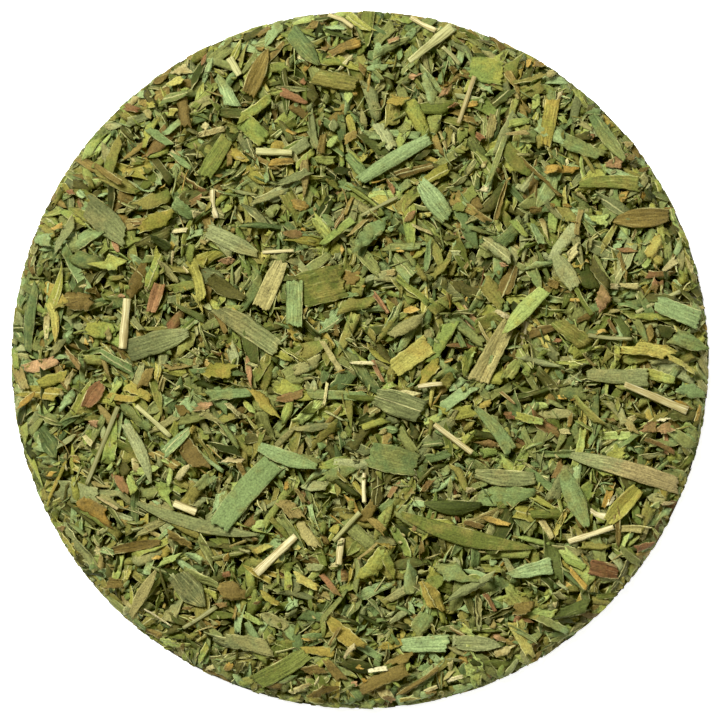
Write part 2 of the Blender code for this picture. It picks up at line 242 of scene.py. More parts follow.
camera_data = bpy.data.cameras.new("camera")
camera_data.sensor_width = SENSOR
camera_data.lens = SENSOR / 2 * CAMERA_HEIGHT / VIEW_HALF_WIDTH
camera_data.clip_start = CAMERA_NEAR * MM
camera = add_object("camera", camera_data)
camera.location = (0, 0, CAMERA_HEIGHT * MM)
bpy.context.scene.camera = camera


# ---- Dried leaf and stalk ------------------------------------------------------------------------------
# The leaves are narrow, with fine veins along them. Dried, they run from blue-green through olive to brown,
# paler on the underside, with darker rims where they curl. Stalk dries to straw, with ribs along it.

MARKS = ("tint", "age", "rib", "half", "streak")
LEAF_BLOTCHES, LEAF_GRAIN = 480.0, 3600.0
STALK_BLOTCHES, STALK_GRAIN = 700.0, 3800.0


def leaf_finish(name, colours, turned, rim):
    """Leaf: tint picks a colour and age is how much of it has turned, in blotches. Noise drawn out along the
    strip makes the veins, as strong as streak says, and rib is where the midrib runs, if it shows. The cut
    edges are pale in places, partly their own paler colour and partly a painted highlight where light
    catches them."""
    finish = Finish(name)
    place, along = finish.place(), finish.strip_map()
    across = along.output("Y")
    tint, age, rib, half, streak = (finish.mark(mark) for mark in MARKS)
    stretched = finish.node("ShaderNodeCombineXYZ", {}, {0: along * 0.3, 1: across * half * 3.3})
    vein = finish.noise(stretched, 1.0, 2.0, 0.6)
    blotch = finish.noise(place, LEAF_BLOTCHES, 3.0, 0.6)
    grain = finish.noise(place, LEAF_GRAIN, 3.0, 0.7)
    colour = finish.ramp(colours, tint)
    colour = finish.mix(colour, srgb(*turned), (blotch + age * 0.34).rise(0.50, 0.86) * 0.85)
    # Pale cut edges: partly their own paler colour, partly a painted highlight where light catches them.
    edge = 1.0 - ((1.0 - abs(across)) * half).rise(0.04, 0.16)
    colour = finish.mix(colour, srgb(*rim), edge * (blotch * 0.5 + vein).rise(0.72, 0.92) * 0.7)
    ribbed = 1.0 - abs((across - rib) * half).rise(0.05, 0.16)
    colour = finish.mix(colour, srgb(*rim), ribbed * 0.6)
    fibre = vein.rise(0.60, 0.72) * streak
    colour = finish.mix(colour, srgb(*rim), fibre * 0.25)
    colour = finish.mix(colour, grain * 2.0 + (vein - 0.5) * (streak * 1.6 + 0.4), 1.0, "MULTIPLY")
    finish.fill(finish.shader, {
        "Base Color": colour, "Roughness": 0.60 + grain * 0.30, "Specular IOR Level": 0.18,
    })
    finish.bump(vein * (streak + 0.3) + grain + blotch * 1.6 + ribbed * 0.6, 1.0, 0.14)
    return finish.material


def stalk_finish(name, colours, groove, ridge_top):
    """Stalk: across runs round it, and noise drawn out along it makes the ribs."""
    finish = Finish(name)
    place, along, tint = finish.place(), finish.strip_map(), finish.mark("tint")
    drawn_out = {0: along * 0.25, 1: along.output("Y") * 1.7, 2: tint * 30.0}
    ridge = finish.noise(finish.node("ShaderNodeCombineXYZ", {}, drawn_out), 1.0, 2.0, 0.6)
    grain = finish.noise(place, STALK_GRAIN, 3.0, 0.65)
    blotch = finish.noise(place, STALK_BLOTCHES, 2.0, 0.5)
    colour = finish.ramp(colours, tint)
    colour = finish.mix(colour, srgb(*groove), (1.0 - ridge.rise(0.38, 0.56)) * 0.7)
    colour = finish.mix(colour, srgb(*groove), blotch.rise(0.55, 0.75) * 0.35)
    colour = finish.mix(colour, srgb(*ridge_top), ridge.rise(0.54, 0.70) * 0.45)
    colour = finish.mix(colour, srgb(*groove), (1.0 - grain.rise(0.28, 0.46)) * 0.35)
    finish.fill(finish.shader, {"Base Color": colour, "Roughness": 0.5 + grain * 0.25})
    finish.bump(ridge + grain * 0.3, 0.8, 0.12)
    return finish.material


LEAF_COLOURS = {
    "green": [(74, 88, 46), (104, 121, 67), (142, 161, 104)],
    "bright": [(94, 107, 47), (124, 138, 66), (156, 169, 93)],
    "grey": [(88, 93, 54), (116, 121, 72), (148, 153, 101)],
    "olive": [(75, 82, 27), (101, 109, 46), (131, 137, 68)],
    "dark": [(36, 43, 8), (57, 65, 21), (86, 95, 44)],
    "brown": [(76, 61, 20), (111, 96, 44), (144, 126, 64)],
    "tan": [(124, 115, 62), (154, 145, 87), (188, 180, 121)],
    "yellow": [(118, 115, 44), (142, 137, 60), (170, 164, 86)],
    "ochre": [(134, 106, 42), (162, 134, 60), (188, 162, 88)],
    "russet": [(98, 66, 36), (136, 100, 62), (170, 136, 92)],
    "cream": [(158, 150, 98), (190, 181, 128), (216, 209, 162)],
}
TURNED_BROWN = (106, 90, 44)
TURNED = {
    "green": (116, 117, 60), "bright": (140, 137, 58), "grey": (136, 130, 76), "olive": (124, 115, 54),
    "dark": (82, 77, 34), "yellow": (146, 127, 56), "tan": (128, 112, 60), "cream": (150, 134, 84),
}
# Pale of the veins and midrib, and at the cut edges partly a painted highlight.
PALE_VEIN_AND_EDGE_HIGHLIGHT = (190, 186, 124)
finishes = {
    kind: leaf_finish(f"dried_{kind}_leaf", colours, TURNED.get(kind, TURNED_BROWN), PALE_VEIN_AND_EDGE_HIGHLIGHT)
    for kind, colours in LEAF_COLOURS.items()
}
# Its last colour is the pale of veins and edges, the edges partly a painted highlight.
finishes["two_tone"] = leaf_finish("leaf_turned_tan", LEAF_COLOURS["grey"], (156, 139, 88), (184, 178, 112))
finishes["straw"] = stalk_finish(
    "dried_stalk", [(162, 151, 94), (194, 184, 126), (222, 215, 164)], (136, 116, 60), (232, 225, 188)
)
finishes["green_straw"] = stalk_finish(
    "green_stalk", [(112, 110, 60), (150, 150, 92), (184, 181, 116)], (108, 104, 50), (188, 186, 134)
)
SLOTS = {kind: f"{kind}_leaf" for kind in LEAF_COLOURS}
SLOTS |= {"ochre": "yellow_leaf", "tan": "brown_leaf", "two_tone": "brown_leaf"}
SLOTS |= {"cream": "straw_stem", "straw": "straw_stem", "green_straw": "straw_stem"}


# ---- How a cutting is shaped ----------------------------------------------------------------------------
# A cutting is a strip of leaf about 0.1 mm thick, chopped or torn across at each end. Drying pleats it along
# its veins, rolls its edges and bends it. A stub of stalk is a ribbed stick with slanting cut ends.

SEED = 5
SQUARE_END, SLANT_END, POINTED_END = (0.0, 0.12), (0.3, 0.7), (0.96, 0.98)  # width lost towards it
END_SHARES = (0.66, 0.16, 0.18)
LOWEST_POINT = 0.02  # over the table
HEAP_RADIUS = 49.97  # past which cuttings are drawn in
RIM_WANDER = 0.015
RIM_WAVES = ((37, 1.3), (61, 0.0), (97, 0.4))
rng = np.random.default_rng(SEED)


def chain(step, angle, axis):
    """A line of flat links, each turned by its own angle: how far out and up each joint is, from the mean.

    out is the running sum of step cos(angle), and up that of step sin(angle)."""
    joints = []
    for length in (step * np.cos(angle), step * np.sin(angle)):
        ends = np.cumsum(length, axis=axis)
        run = np.concatenate([np.zeros_like(np.take(ends, [0], axis)), ends], axis=axis)
        joints.append(run - run.mean(axis=axis, keepdims=True))
    return joints


class Strips:
    """Like strips of leaf, all with the same number of points: columns of sizes, one row for each strip."""

    def __init__(self, length, width, steps):
        count, (nu, nv) = len(length), steps
        self.length, self.width, self.steps = length, width, steps
        self.thickness = rng.uniform(0.06, 0.12, count)
        self.bend = rng.normal(0, 0.50, count)
        self.bow = rng.normal(0, 0.16, count)
        self.curl = rng.normal(-0.15, 0.75, count)
        self.twist = rng.normal(0, 0.30, count)
        self.crease = rng.uniform(-0.5, 0.5, count)
        self.fold = rng.normal(0, 0.7, count) * (rng.random(count) < 0.45)
        self.kinks = rng.normal(0, 0.18, (count, nu))
        self.pleats = rng.normal(0, 0.30, (count, 1, nv - 1)) + rng.normal(0, 0.24, (count, nu, nv - 1))
        ends = np.array([SQUARE_END, SLANT_END, POINTED_END])
        self.tips = rng.uniform(*ends[rng.choice(3, (count, 2), p=END_SHARES)].transpose(2, 0, 1))
        self.taper = rng.uniform(0.9, 2.6, (count, 2))
        self.skew = rng.normal(0, 0.55, (count, 1)) + rng.normal(0, 0.45, (count, 2))
        self.lean = np.clip(rng.normal(0, 0.20, (count, 2)), -0.5, 0.5)
        self.ragged = rng.normal(0, 0.09, (count, nu, 2))
        self.torn = rng.normal(0, 0.26, (count, 2, nv))

    def middle(self, chosen):
        """Middle surfaces of the chosen strips: for each, steps along and across it, in its own axes.

        Each half is as wide as the strip's, leans in or out, narrows to the ends and is ragged. The section
        is a chain of pleats that turn by the curl, the fold and the twist; the middle line is a chain too,
        which bends, bows and kinks. The end rows are cut askew and torn."""
        u = np.linspace(-1, 1, self.steps[0])[None, :, None]
        v = np.linspace(-1, 1, self.steps[1])[None, None, :]

        def column(values):
            return values[chosen][:, None, None]

        def either(pair, second):
            return np.where(second, pair[chosen][..., 1:], pair[chosen][..., :1])

        narrow = 1 - either(self.tips[:, None], u > 0) * np.abs(u) ** either(self.taper[:, None], u > 0)
        wide = 1 + either(self.lean[:, None], v > 0) * u + either(self.ragged, v > 0)
        half = column(self.width) / 2 * narrow
        panel = (v[..., 1:] + v[..., :-1]) / 2
        turn = column(self.twist) * u + column(self.curl) * panel / 2 + self.pleats[chosen]
        turn = turn + column(self.fold) * np.sign(panel - column(self.crease)) / 2
        across, rise = chain(np.diff(half * wide * v, axis=2), turn, 2)
        pitch = column(self.bend) * u / 2 + self.kinks[chosen][..., None]
        yaw = column(self.bow) * u / 2
        step = column(self.length) / (self.steps[0] - 1) * np.ones_like(u[:, 1:])
        out, up = chain(step, (pitch[:, 1:] + pitch[:, :-1]) / 2, 1)
        sideways = chain(step, (yaw[:, 1:] + yaw[:, :-1]) / 2, 1)[1]
        torn = np.where(u > 0, self.torn[chosen][:, 1:], self.torn[chosen][:, :1])
        cut = (either(self.skew[:, None], u > 0) * v + torn) * half * np.abs(u) ** 4
        x = out + cut - rise * np.sin(pitch) - across * np.sin(yaw)
        return np.stack([x, sideways + across * np.cos(yaw), up + rise * np.cos(pitch)], -1)


def sheet_normals(points):
    """Unit normals of surfaces on grids: the cross product of the two directions along the grid."""
    normal = np.cross(np.gradient(points, axis=1), np.gradient(points, axis=2))
    return normal / np.maximum(np.linalg.norm(normal, axis=-1, keepdims=True), 1e-9)


def strip_pattern(nu, nv):
    """Faces of a closed strip, their corners' places in a cell of the OFBake map, and which are rims.

    Points run over the upper sheet and then the lower one. In the cell the upper sheet is at the top, the
    lower sheet in a thinner band, and the rims, along the sides and over the ends, in two narrow ones."""
    sheet = nu * nv
    upper = grid_faces(nu, nv)
    side, end = np.arange(nu - 1) * nv, np.arange(nv - 1)

    def rim(start, step):
        return np.stack([start, start + step, start + step + sheet, start + sheet], 1)

    u, v = np.meshgrid(np.linspace(0, 1, nu), np.linspace(0, 1, nv), indexing="ij")
    u, v = np.tile(u.ravel(), 2), np.tile(v.ravel(), 2)
    on_upper = np.arange(2 * sheet) < sheet
    bands = [
        (upper, u, v, (0.03, 0.94), (0.46, 0.50)),
        (upper[:, ::-1] + sheet, u, v, (0.03, 0.94), (0.18, 0.22)),
        (rim(side, nv)[:, ::-1], u, on_upper, (0.03, 0.45), (0.04, 0.04)),
        (rim(side + nv - 1, nv), u, on_upper, (0.52, 0.45), (0.04, 0.04)),
        (rim(end, 1), v, on_upper, (0.03, 0.45), (0.11, 0.03)),
        (rim(end + sheet - nv, 1)[:, ::-1], v, on_upper, (0.52, 0.45), (0.11, 0.03)),
    ]
    faces = np.concatenate([band[0] for band in bands])
    cell = np.concatenate([
        np.stack([left + wide * across[band], low + high * up[band]], -1)
        for band, across, up, (left, wide), (low, high) in bands
    ])
    return faces, cell, np.arange(len(faces)) >= 2 * len(upper)


def trimmed_radius(points):
    """How far out the heap reaches in each direction: a circle with a slight wander, of three sine waves."""
    bearing = np.arctan2(points[..., 1], points[..., 0])
    return HEAP_RADIUS + RIM_WANDER * sum(np.sin(waves * bearing + shift) for waves, shift in RIM_WAVES)


class Pieces:
    """Gathers like cuttings, and makes them one mesh with its maps and attributes."""

    def __init__(self):
        self.points, self.faces, self.maps, self.cells, self.flat, self.marks = [], [], [], [], [], []
        self.total, self.count = 0, 0

    def add(self, points, faces, strip, cell, flat, marks):
        """Adds copies of one pattern of faces: their points, strip maps and marks, and its cell."""
        copies, size = points.shape[:2]
        offsets = self.total + np.arange(copies)[:, None, None] * size
        self.faces.append((faces[None] + offsets).reshape(-1, 4))
        self.points.append(points.reshape(-1, 3))
        self.maps.append(strip[:, faces].reshape(-1, 2))
        number = np.repeat(self.count + np.arange(copies), faces.size)
        self.cells.append(np.column_stack([number, np.tile(cell.reshape(-1, 2), (copies, 1))]))
        self.flat.append(np.tile(flat, copies))
        self.marks.append(marks.reshape(copies * size, -1))
        self.total += copies * size
        self.count += copies

    def add_leaves(self, middle, thickness, length, half, looks):
        """Adds middle surfaces as closed strips, half their thickness to each side along their normals.

        Points past the heap's radius are drawn in to it. Looks are the tints and ages at tail and tip, which
        run evenly between them, and the midribs and streaks, with a row for each strip."""
        copies, nu, nv, _ = middle.shape
        out = sheet_normals(middle) * thickness[:, None, None, None] / 2
        points = np.stack([middle + out, middle - out], 1).reshape(copies, 2 * nu * nv, 3)
        reach = np.hypot(points[..., 0], points[..., 1])
        points[..., :2] *= np.minimum(1, trimmed_radius(points) / np.maximum(reach, 1e-6))[..., None]
        points[..., 2] = np.maximum(points[..., 2], LOWEST_POINT)
        u, v = np.meshgrid(np.linspace(-0.5, 0.5, nu), np.linspace(-1, 1, nv), indexing="ij")
        along = u.ravel() * length[:, None] + rng.uniform(0, 400, copies)[:, None]
        strip = np.tile(np.stack([along, np.broadcast_to(v.ravel(), along.shape)], -1), (1, 2, 1))
        share = np.tile(u.ravel() + 0.5, 2)[None]
        tints, ages, rib, streak = looks
        marks = [ends[:, :1] + (ends[:, 1:] - ends[:, :1]) * share for ends in (tints, ages)]
        marks += [np.broadcast_to(values[:, None], marks[0].shape) for values in (rib, half, streak)]
        faces, cell, flat = strip_pattern(nu, nv)
        self.add(points, faces, strip, cell, flat, np.stack(marks, -1))

    def make(self, name, kind):
        """The mesh object. Each cutting has its own cell of the OFBake map, twice as wide as high."""
        points, faces = np.concatenate(self.points), np.concatenate(self.faces)
        mesh = bpy.data.meshes.new(name)
        mesh.vertices.add(len(points))
        mesh.vertices.foreach_set("co", (points * MM).ravel())
        mesh.loops.add(faces.size)
        mesh.loops.foreach_set("vertex_index", faces.ravel())
        mesh.polygons.add(len(faces))
        mesh.polygons.foreach_set("loop_start", np.arange(len(faces)) * 4)
        mesh.update(calc_edges=True)
        sharp = mesh.attributes.new("sharp_face", "BOOLEAN", "FACE")
        sharp.data.foreach_set("value", np.concatenate(self.flat))
        columns = max(1, math.ceil(math.sqrt(self.count / 2)))
        rows = math.ceil(self.count / columns)
        cells = np.concatenate(self.cells)
        number, inside = cells[:, 0], cells[:, 1:]
        corner = np.column_stack([number % columns, number // columns])
        maps = {"OFBake": (corner + inside) / (columns, rows), "strip": np.concatenate(self.maps)}
        for label, places in maps.items():
            mesh.uv_layers.new(name=label).data.foreach_set("uv", places.astype(np.float32).ravel())
        for mark, values in zip(MARKS, np.concatenate(self.marks).T):
            attribute = mesh.attributes.new(mark, "FLOAT", "POINT")
            attribute.data.foreach_set("value", values.astype(np.float32))
        mesh.materials.append(finishes[kind])
        piece = add_object(name, mesh)
        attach(piece, "root")
        return piece


def in_place(local, x, y, z, turn, slope_along, slope_across):
    """Turns surfaces in their own axes to lie on a slope, and moves them to their places."""
    normal = np.stack([
        -(slope_along * np.cos(turn) - slope_across * np.sin(turn)),
        -(slope_along * np.sin(turn) + slope_across * np.cos(turn)),
        np.ones_like(turn),
    ], -1)
    normal /= np.linalg.norm(normal, axis=-1, keepdims=True)
    ahead = np.stack([np.cos(turn), np.sin(turn), slope_along], -1)
    ahead /= np.linalg.norm(ahead, axis=-1, keepdims=True)
    axes = np.stack([ahead, np.cross(normal, ahead), normal], 1)
    return np.einsum("nuvk,nkc->nuvc", local, axes) + np.stack([x, y, z], -1)[:, None, None, :]


# ---- The heap's surface, and what lies on it -------------------------------------------------------------
# A cutting that falls on the heap comes to rest on the highest things below it and tilts to lie along them.
# The loose cuttings of the frame are laid already, so the small ones are kept below their undersides.

SHOULDER_RADIUS = 45.0
SHOULDER_HEIGHT = 5.6
CROWN_HEIGHT = 8.8
TOE_RADIUS = 50.0
SLOPE_SOFTNESS = 0.5
CELL = 0.3
CELLS_TO_A_POINT = 1.6  # of the points that feel for what lies below
REACH = 51.0
START_DEPTH = 2.4  # below the bed's surface, where the first cuttings come to rest
GOAL_RISE = 0.6  # above it, where the last ones should reach
LEAST_GOAL = 0.3
SEATED = 0.88  # share of the points below that a cutting clears
STEEPEST = 1.2  # slope
MOST_ABOVE = 0.35  # share of a cutting that may poke up past the limit
STRAIGHT_BELOW = 3.2  # times its width: a shorter cutting's line has no bow
STATIONS = 7
LEAST_HALF = 0.2  # width of half a cutting at a station
CLEARANCE = 0.22  # of small cuttings below the middle surface of a loose one
MARGIN = 0.3  # round it, that they also keep
PILED_UNDER = 1.5  # how far above the goal they may be heaped to carry it
JUST_BELOW = 0.02


def bed_height(radius):
    """Height of the heap's bed: a shallow dome to the shoulder, then a rounded slope down to the toe."""
    dome = CROWN_HEIGHT - (CROWN_HEIGHT - SHOULDER_HEIGHT) * (radius / SHOULDER_RADIUS) ** 2
    slope = np.clip((TOE_RADIUS - radius) / (TOE_RADIUS - SHOULDER_RADIUS), 0, None)
    return np.minimum(dome, SHOULDER_HEIGHT * slope**SLOPE_SOFTNESS)


class Heap:
    """Heights over a grid of cells: the top so far, the goal it should reach, and ceilings to stay below."""

    def __init__(self):
        self.middle = int(REACH / CELL)
        steps = (np.arange(2 * self.middle + 1) - self.middle) * CELL
        bed = bed_height(np.hypot(*np.meshgrid(steps, steps)))
        self.top = np.maximum(bed - START_DEPTH, 0.0)
        self.goal = np.maximum(bed + GOAL_RISE, LEAST_GOAL)
        self.ceiling = np.full_like(self.top, np.inf)
        self.patterns = {}

    def cells(self, x, y):
        """Rows and columns of the cells at points."""
        nearest = (np.rint(places / CELL).astype(int) + self.middle for places in (y, x))
        return tuple(np.clip(numbers, 0, 2 * self.middle) for numbers in nearest)

    def raise_top(self, cells, height):
        """Brings the top up to a height where it is lower."""
        self.top[cells] = np.maximum(self.top[cells], height)

    def pattern(self, length, width):
        """Even points over a unit rectangle, close enough for the cutting's size."""
        steps = tuple(2 * math.ceil(size / CELL / CELLS_TO_A_POINT) + 1 for size in (length, width))
        if steps not in self.patterns:
            a, b = np.meshgrid(*(np.linspace(-0.5, 0.5, count) for count in steps), indexing="ij")
            self.patterns[steps] = (a.ravel(), b.ravel())
        return self.patterns[steps]

    def lowest_spot(self, spots):
        """Of a few spots, the one where the heap is furthest below its goal."""
        cells = self.cells(spots[:, 0], spots[:, 1])
        return spots[np.argmax(self.goal[cells] - self.top[cells])]

    def rest(
        self, x, y, turn, length, width, bend, curl, thickness,
        tilt=(0.0, 0.0), steepest=STEEPEST, over=None, seated=SEATED,
    ):
        """Lays a cutting down and returns its height and two slopes, or None if it would poke up too far.

        The slopes are those of the plane of least squares through the heights below, up to the steepest,
        plus the cutting's own tilt. It is then as high as it must be for most of those points to be below
        it. With no limit over the heap's goal it always stays, pushed down under the loose cuttings."""
        a, b = self.pattern(length, width)
        a, b = a * length, b * width
        cells = self.cells(
            x + a * np.cos(turn) - b * np.sin(turn), y + a * np.sin(turn) + b * np.cos(turn)
        )
        shape = a**2 * bend / (2 * length) + b**2 * curl / (2 * width)
        below = self.top[cells] - shape
        slope_along = np.clip((below * a).sum() / (a * a).sum(), -steepest, steepest) + tilt[0]
        slope_across = np.clip((below * b).sum() / (b * b).sum(), -steepest, steepest) + tilt[1]
        flat = below.mean() + slope_along * a + slope_across * b
        left = np.sort(below - flat)
        z = below.mean() + left[int(seated * (len(left) - 1))] + thickness / 2
        top = z + slope_along * a + slope_across * b + shape + thickness / 2
        above = (top - self.ceiling[cells]).max()
        if over is None:
            z, top = z - max(above, 0.0), top - max(above, 0.0)
        elif above > 0 or (top > self.goal[cells] + over).mean() > MOST_ABOVE:
            return None
        self.raise_top(cells, top)
        return z, slope_along, slope_across


heap = Heap()


class Laid:
    """A loose cutting of the frame, measured from its solid: where its line runs, and how wide it is.

    The line is the direction in plan along which the points spread most. Height and sideways bow are
    parabolas of least squares along it, and the half width is read at each station of the solid."""

    def __init__(self, node):
        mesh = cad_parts[node].data
        points = np.empty(len(mesh.vertices) * 3)
        mesh.vertices.foreach_get("co", points)
        points = np.unique(np.round(points.reshape(-1, 3) / MM, 4), axis=0)
        self.node, self.kind, self.number = node, node.split("_")[0], int(node[-2:])
        self.centre = points[:, :2].mean(0)
        plan = points[:, :2] - self.centre
        line = np.linalg.svd(plan, full_matrices=False)[2][0]
        self.ahead = line if line[0] > 0 else -line
        self.side = np.array([-self.ahead[1], self.ahead[0]])
        s, t = plan @ self.ahead, plan @ self.side
        self.ends = s.min(), s.max()
        straight = self.kind == "straw" or np.ptp(s) < STRAIGHT_BELOW * np.ptp(t)
        self.bow = np.polyfit(s, t, 1 if straight else 2)
        off = t - np.polyval(self.bow, s)
        terms = np.stack([np.ones_like(s), s, t, s * s, np.abs(off)], 1)
        terms[:, 2:] *= self.kind != "straw"
        self.rise = np.linalg.lstsq(terms, points[:, 2], rcond=None)[0]
        self.length = self.ends[1] - self.ends[0]
        self.stations = np.linspace(*self.ends, STATIONS)
        near = np.abs(s[:, None] - self.stations) <= self.length / (STATIONS + 1)
        self.half = np.array([np.abs(off[own]).max(initial=LEAST_HALF) for own in near.T])
        self.width = 2 * self.half.max()

    def surface(self, s, off):
        """Places on the middle surface at distances along the line and off it.

        The bow is added sideways. The height is a plane, a parabola along the line and a roof off it."""
        t = off + np.polyval(self.bow, s)
        plan = self.centre + s[..., None] * self.ahead + t[..., None] * self.side
        level, along, across, bend, roof = self.rise
        z = level + along * s + across * t + bend * s**2 + roof * np.abs(off)
        return np.concatenate([plan, z[..., None]], -1)

    def cover(self, lift, margin):
        """The heap's cells under it, with a margin round it, and its height over each, plus a lift."""
        steps = 4 * math.ceil(self.length / CELL / 2) + 1, 4 * math.ceil(self.width / CELL / 2) + 5
        along = np.linspace(self.ends[0] - margin, self.ends[1] + margin, steps[0])
        s, share = np.meshgrid(along, np.linspace(-1, 1, steps[1]), indexing="ij")
        points = self.surface(s, share * (np.interp(s, self.stations, self.half) + margin))
        return heap.cells(points[..., 0], points[..., 1]), points[..., 2] + lift


laid = [Laid(node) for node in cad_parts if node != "herb_bed"]
for cutting in laid:
    cells, under = cutting.cover(-CLEARANCE, MARGIN)
    heap.ceiling[cells] = np.minimum(heap.ceiling[cells], under)
    heap.goal[cells] = np.minimum(under - JUST_BELOW, heap.goal[cells] + PILED_UNDER)


# ---- The settled middle -----------------------------------------------------------------------------------
# Below the cuttings that show, the heap is packed crumbs and dust, painted near black as painted shade,
# since little light gets in under the cuttings. It is a shallow mound with a flat underside and a rough
# surface. The dust that has spilled at its toe is left paler, without the painted shade.

MIDDLE_DEPTH = 2.3
MIDDLE_RADIUS = TOE_RADIUS - 0.12
MIDDLE_RINGS = 46
MIDDLE_SPOKES = 220
MIDDLE_FOOT = 0.05
FULL_DEPTH_WITHIN = 43.0  # and half the depth outside this radius
ROUGHNESS = 0.16
SPILLED_WITHIN = (1.4, 0.8)  # of the edge, where the dust begins to be pale and is all pale
CRUMBS, CRUMB_SHADES = 1100.0, 900.0


def ring_points(rings, spokes):
    """Numbers of the points on rings, ring by ring, and of each one's neighbour round its ring."""
    i, j = np.meshgrid(np.arange(rings), np.arange(spokes), indexing="ij")
    return (i * spokes + j).ravel(), (i * spokes + (j + 1) % spokes).ravel()


def packed_middle():
    """A mound turned round its axis: rings of points on the bed's height less a depth, roughened, then the
    same rings inwards along the flat underside."""
    radius = MIDDLE_RADIUS * np.linspace(0.02, 1, MIDDLE_RINGS)
    bearing = np.linspace(0, math.tau, MIDDLE_SPOKES, endpoint=False)
    r, angle = np.meshgrid(radius, bearing, indexing="ij")
    rough = np.sin(r * 2.1 + 3 * np.sin(angle * 23)) + np.sin(angle * 41 + r * 1.7)
    rough = rough + rng.normal(0, 0.8, r.shape)
    depth = MIDDLE_DEPTH * (0.5 + 0.5 * (r < FULL_DEPTH_WITHIN))
    height = np.maximum(bed_height(r + 1.0) - depth + ROUGHNESS * rough, MIDDLE_FOOT)
    height[-1] = MIDDLE_FOOT
    upper = np.stack([r * np.cos(angle), r * np.sin(angle), height], -1)
    lower = upper * (1, 1, 0)
    rings = np.concatenate([upper, lower[::-1]]).reshape(-1, 3)
    crown, foot = len(rings), len(rings) + 1
    points = np.concatenate([rings, [[0, 0, height[0].mean()], [0, 0, 0]]])
    first, after = ring_points(2 * MIDDLE_RINGS - 1, MIDDLE_SPOKES)
    quads = np.stack([first, first + MIDDLE_SPOKES, after + MIDDLE_SPOKES, after], 1)
    spoke, beside = ring_points(1, MIDDLE_SPOKES)
    last = (2 * MIDDLE_RINGS - 1) * MIDDLE_SPOKES
    top = np.stack([np.full_like(spoke, crown), spoke, beside], 1)
    bottom = np.stack([np.full_like(spoke, foot), last + beside, last + spoke], 1)
    return points, quads.tolist() + top.tolist() + bottom.tolist()


dust = Finish("packed_crumbs_painted_shade")
place = dust.place()
crumbs = dust.node("ShaderNodeTexVoronoi", {}, {"Vector": place, "Scale": CRUMBS}, "Distance")
shade = dust.noise(place, CRUMB_SHADES, 4.0, 0.7)
# Painted shade: near black, and blacker still in the gaps between the crumbs, where little light would
# reach.
dark = dust.mix(srgb(20, 18, 4), srgb(60, 56, 20), shade.rise(0.35, 0.7))
dark = dust.mix(dark, srgb(10, 9, 4), crumbs.rise(0.3, 0.7))
spilled = dust.mix(srgb(52, 50, 20), srgb(118, 116, 60), shade.rise(0.4, 0.6))
x = dust.node("ShaderNodeSeparateXYZ", {}, {"Vector": place})
reach = (x ** 2.0 + x.output("Y") ** 2.0) ** 0.5
at_toe = reach.rise(*((MIDDLE_RADIUS - inwards) * MM for inwards in SPILLED_WITHIN))
colour = dust.mix(dark, spilled, at_toe)
dust.fill(dust.shader, {"Base Color": colour, "Roughness": 0.7 + shade * 0.25, "Specular IOR Level": 0.1})
dust.bump(shade - crumbs * 0.8, 1.0, 0.5)
packed = add_mesh("packed_middle", *packed_middle(), dust)
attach(packed, "root")
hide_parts("herb_bed")


# ---- The small cuttings -----------------------------------------------------------------------------------
# Leaf that has been chopped and sifted: flakes, ribbons, chips, slivers and small bits. The coarse ones lie
# in two layers over the middle, with more of the dark kinds among them as painted shade, since they lie in
# the shade of those above, and the rest are mixed over them, tilted every way.

SHARES = {
    "green": 0.31, "bright": 0.12, "grey": 0.13, "olive": 0.21, "dark": 0.115, "brown": 0.045,
    "tan": 0.018, "yellow": 0.03, "ochre": 0.008, "russet": 0.008, "cream": 0.0,
}
# Painted shade: the deep layers get more of the dark, olive and brown kinds, as they lie in the shade of the
# cuttings above.
DEEP_SHADED_SHARES = SHARES | {
    "dark": 0.45, "olive": 0.30, "brown": 0.12, "bright": 0.05, "tan": 0.0, "yellow": 0.02,
}
PIECE_LIMIT = 900  # cuttings, or nearly so
SLOPE_START = 46.0  # radius from which cuttings are kept from leaning out
TOE_START = 49.0  # radius from which they lie round the edge
NO_RIB = 9.0  # too far off the strip to show
RIBBED_SHARE = 0.06
MOST_CURL = 1.2  # in how a cutting is seated, not in its shape
kinds = list(SHARES)


def random_looks(count):
    """Tints and ages at tail and tip, midrib and streak for a number of cuttings."""
    tints = rng.random((count, 1)) + rng.normal(0, 0.16, (count, 2))
    ages = rng.random((count, 1)) + rng.normal(0, 0.35, (count, 2))
    ribs = np.where(rng.random(count) < RIBBED_SHARE, rng.normal(0, 0.2, count), NO_RIB)
    return tints, ages, ribs, rng.random(count) ** 2


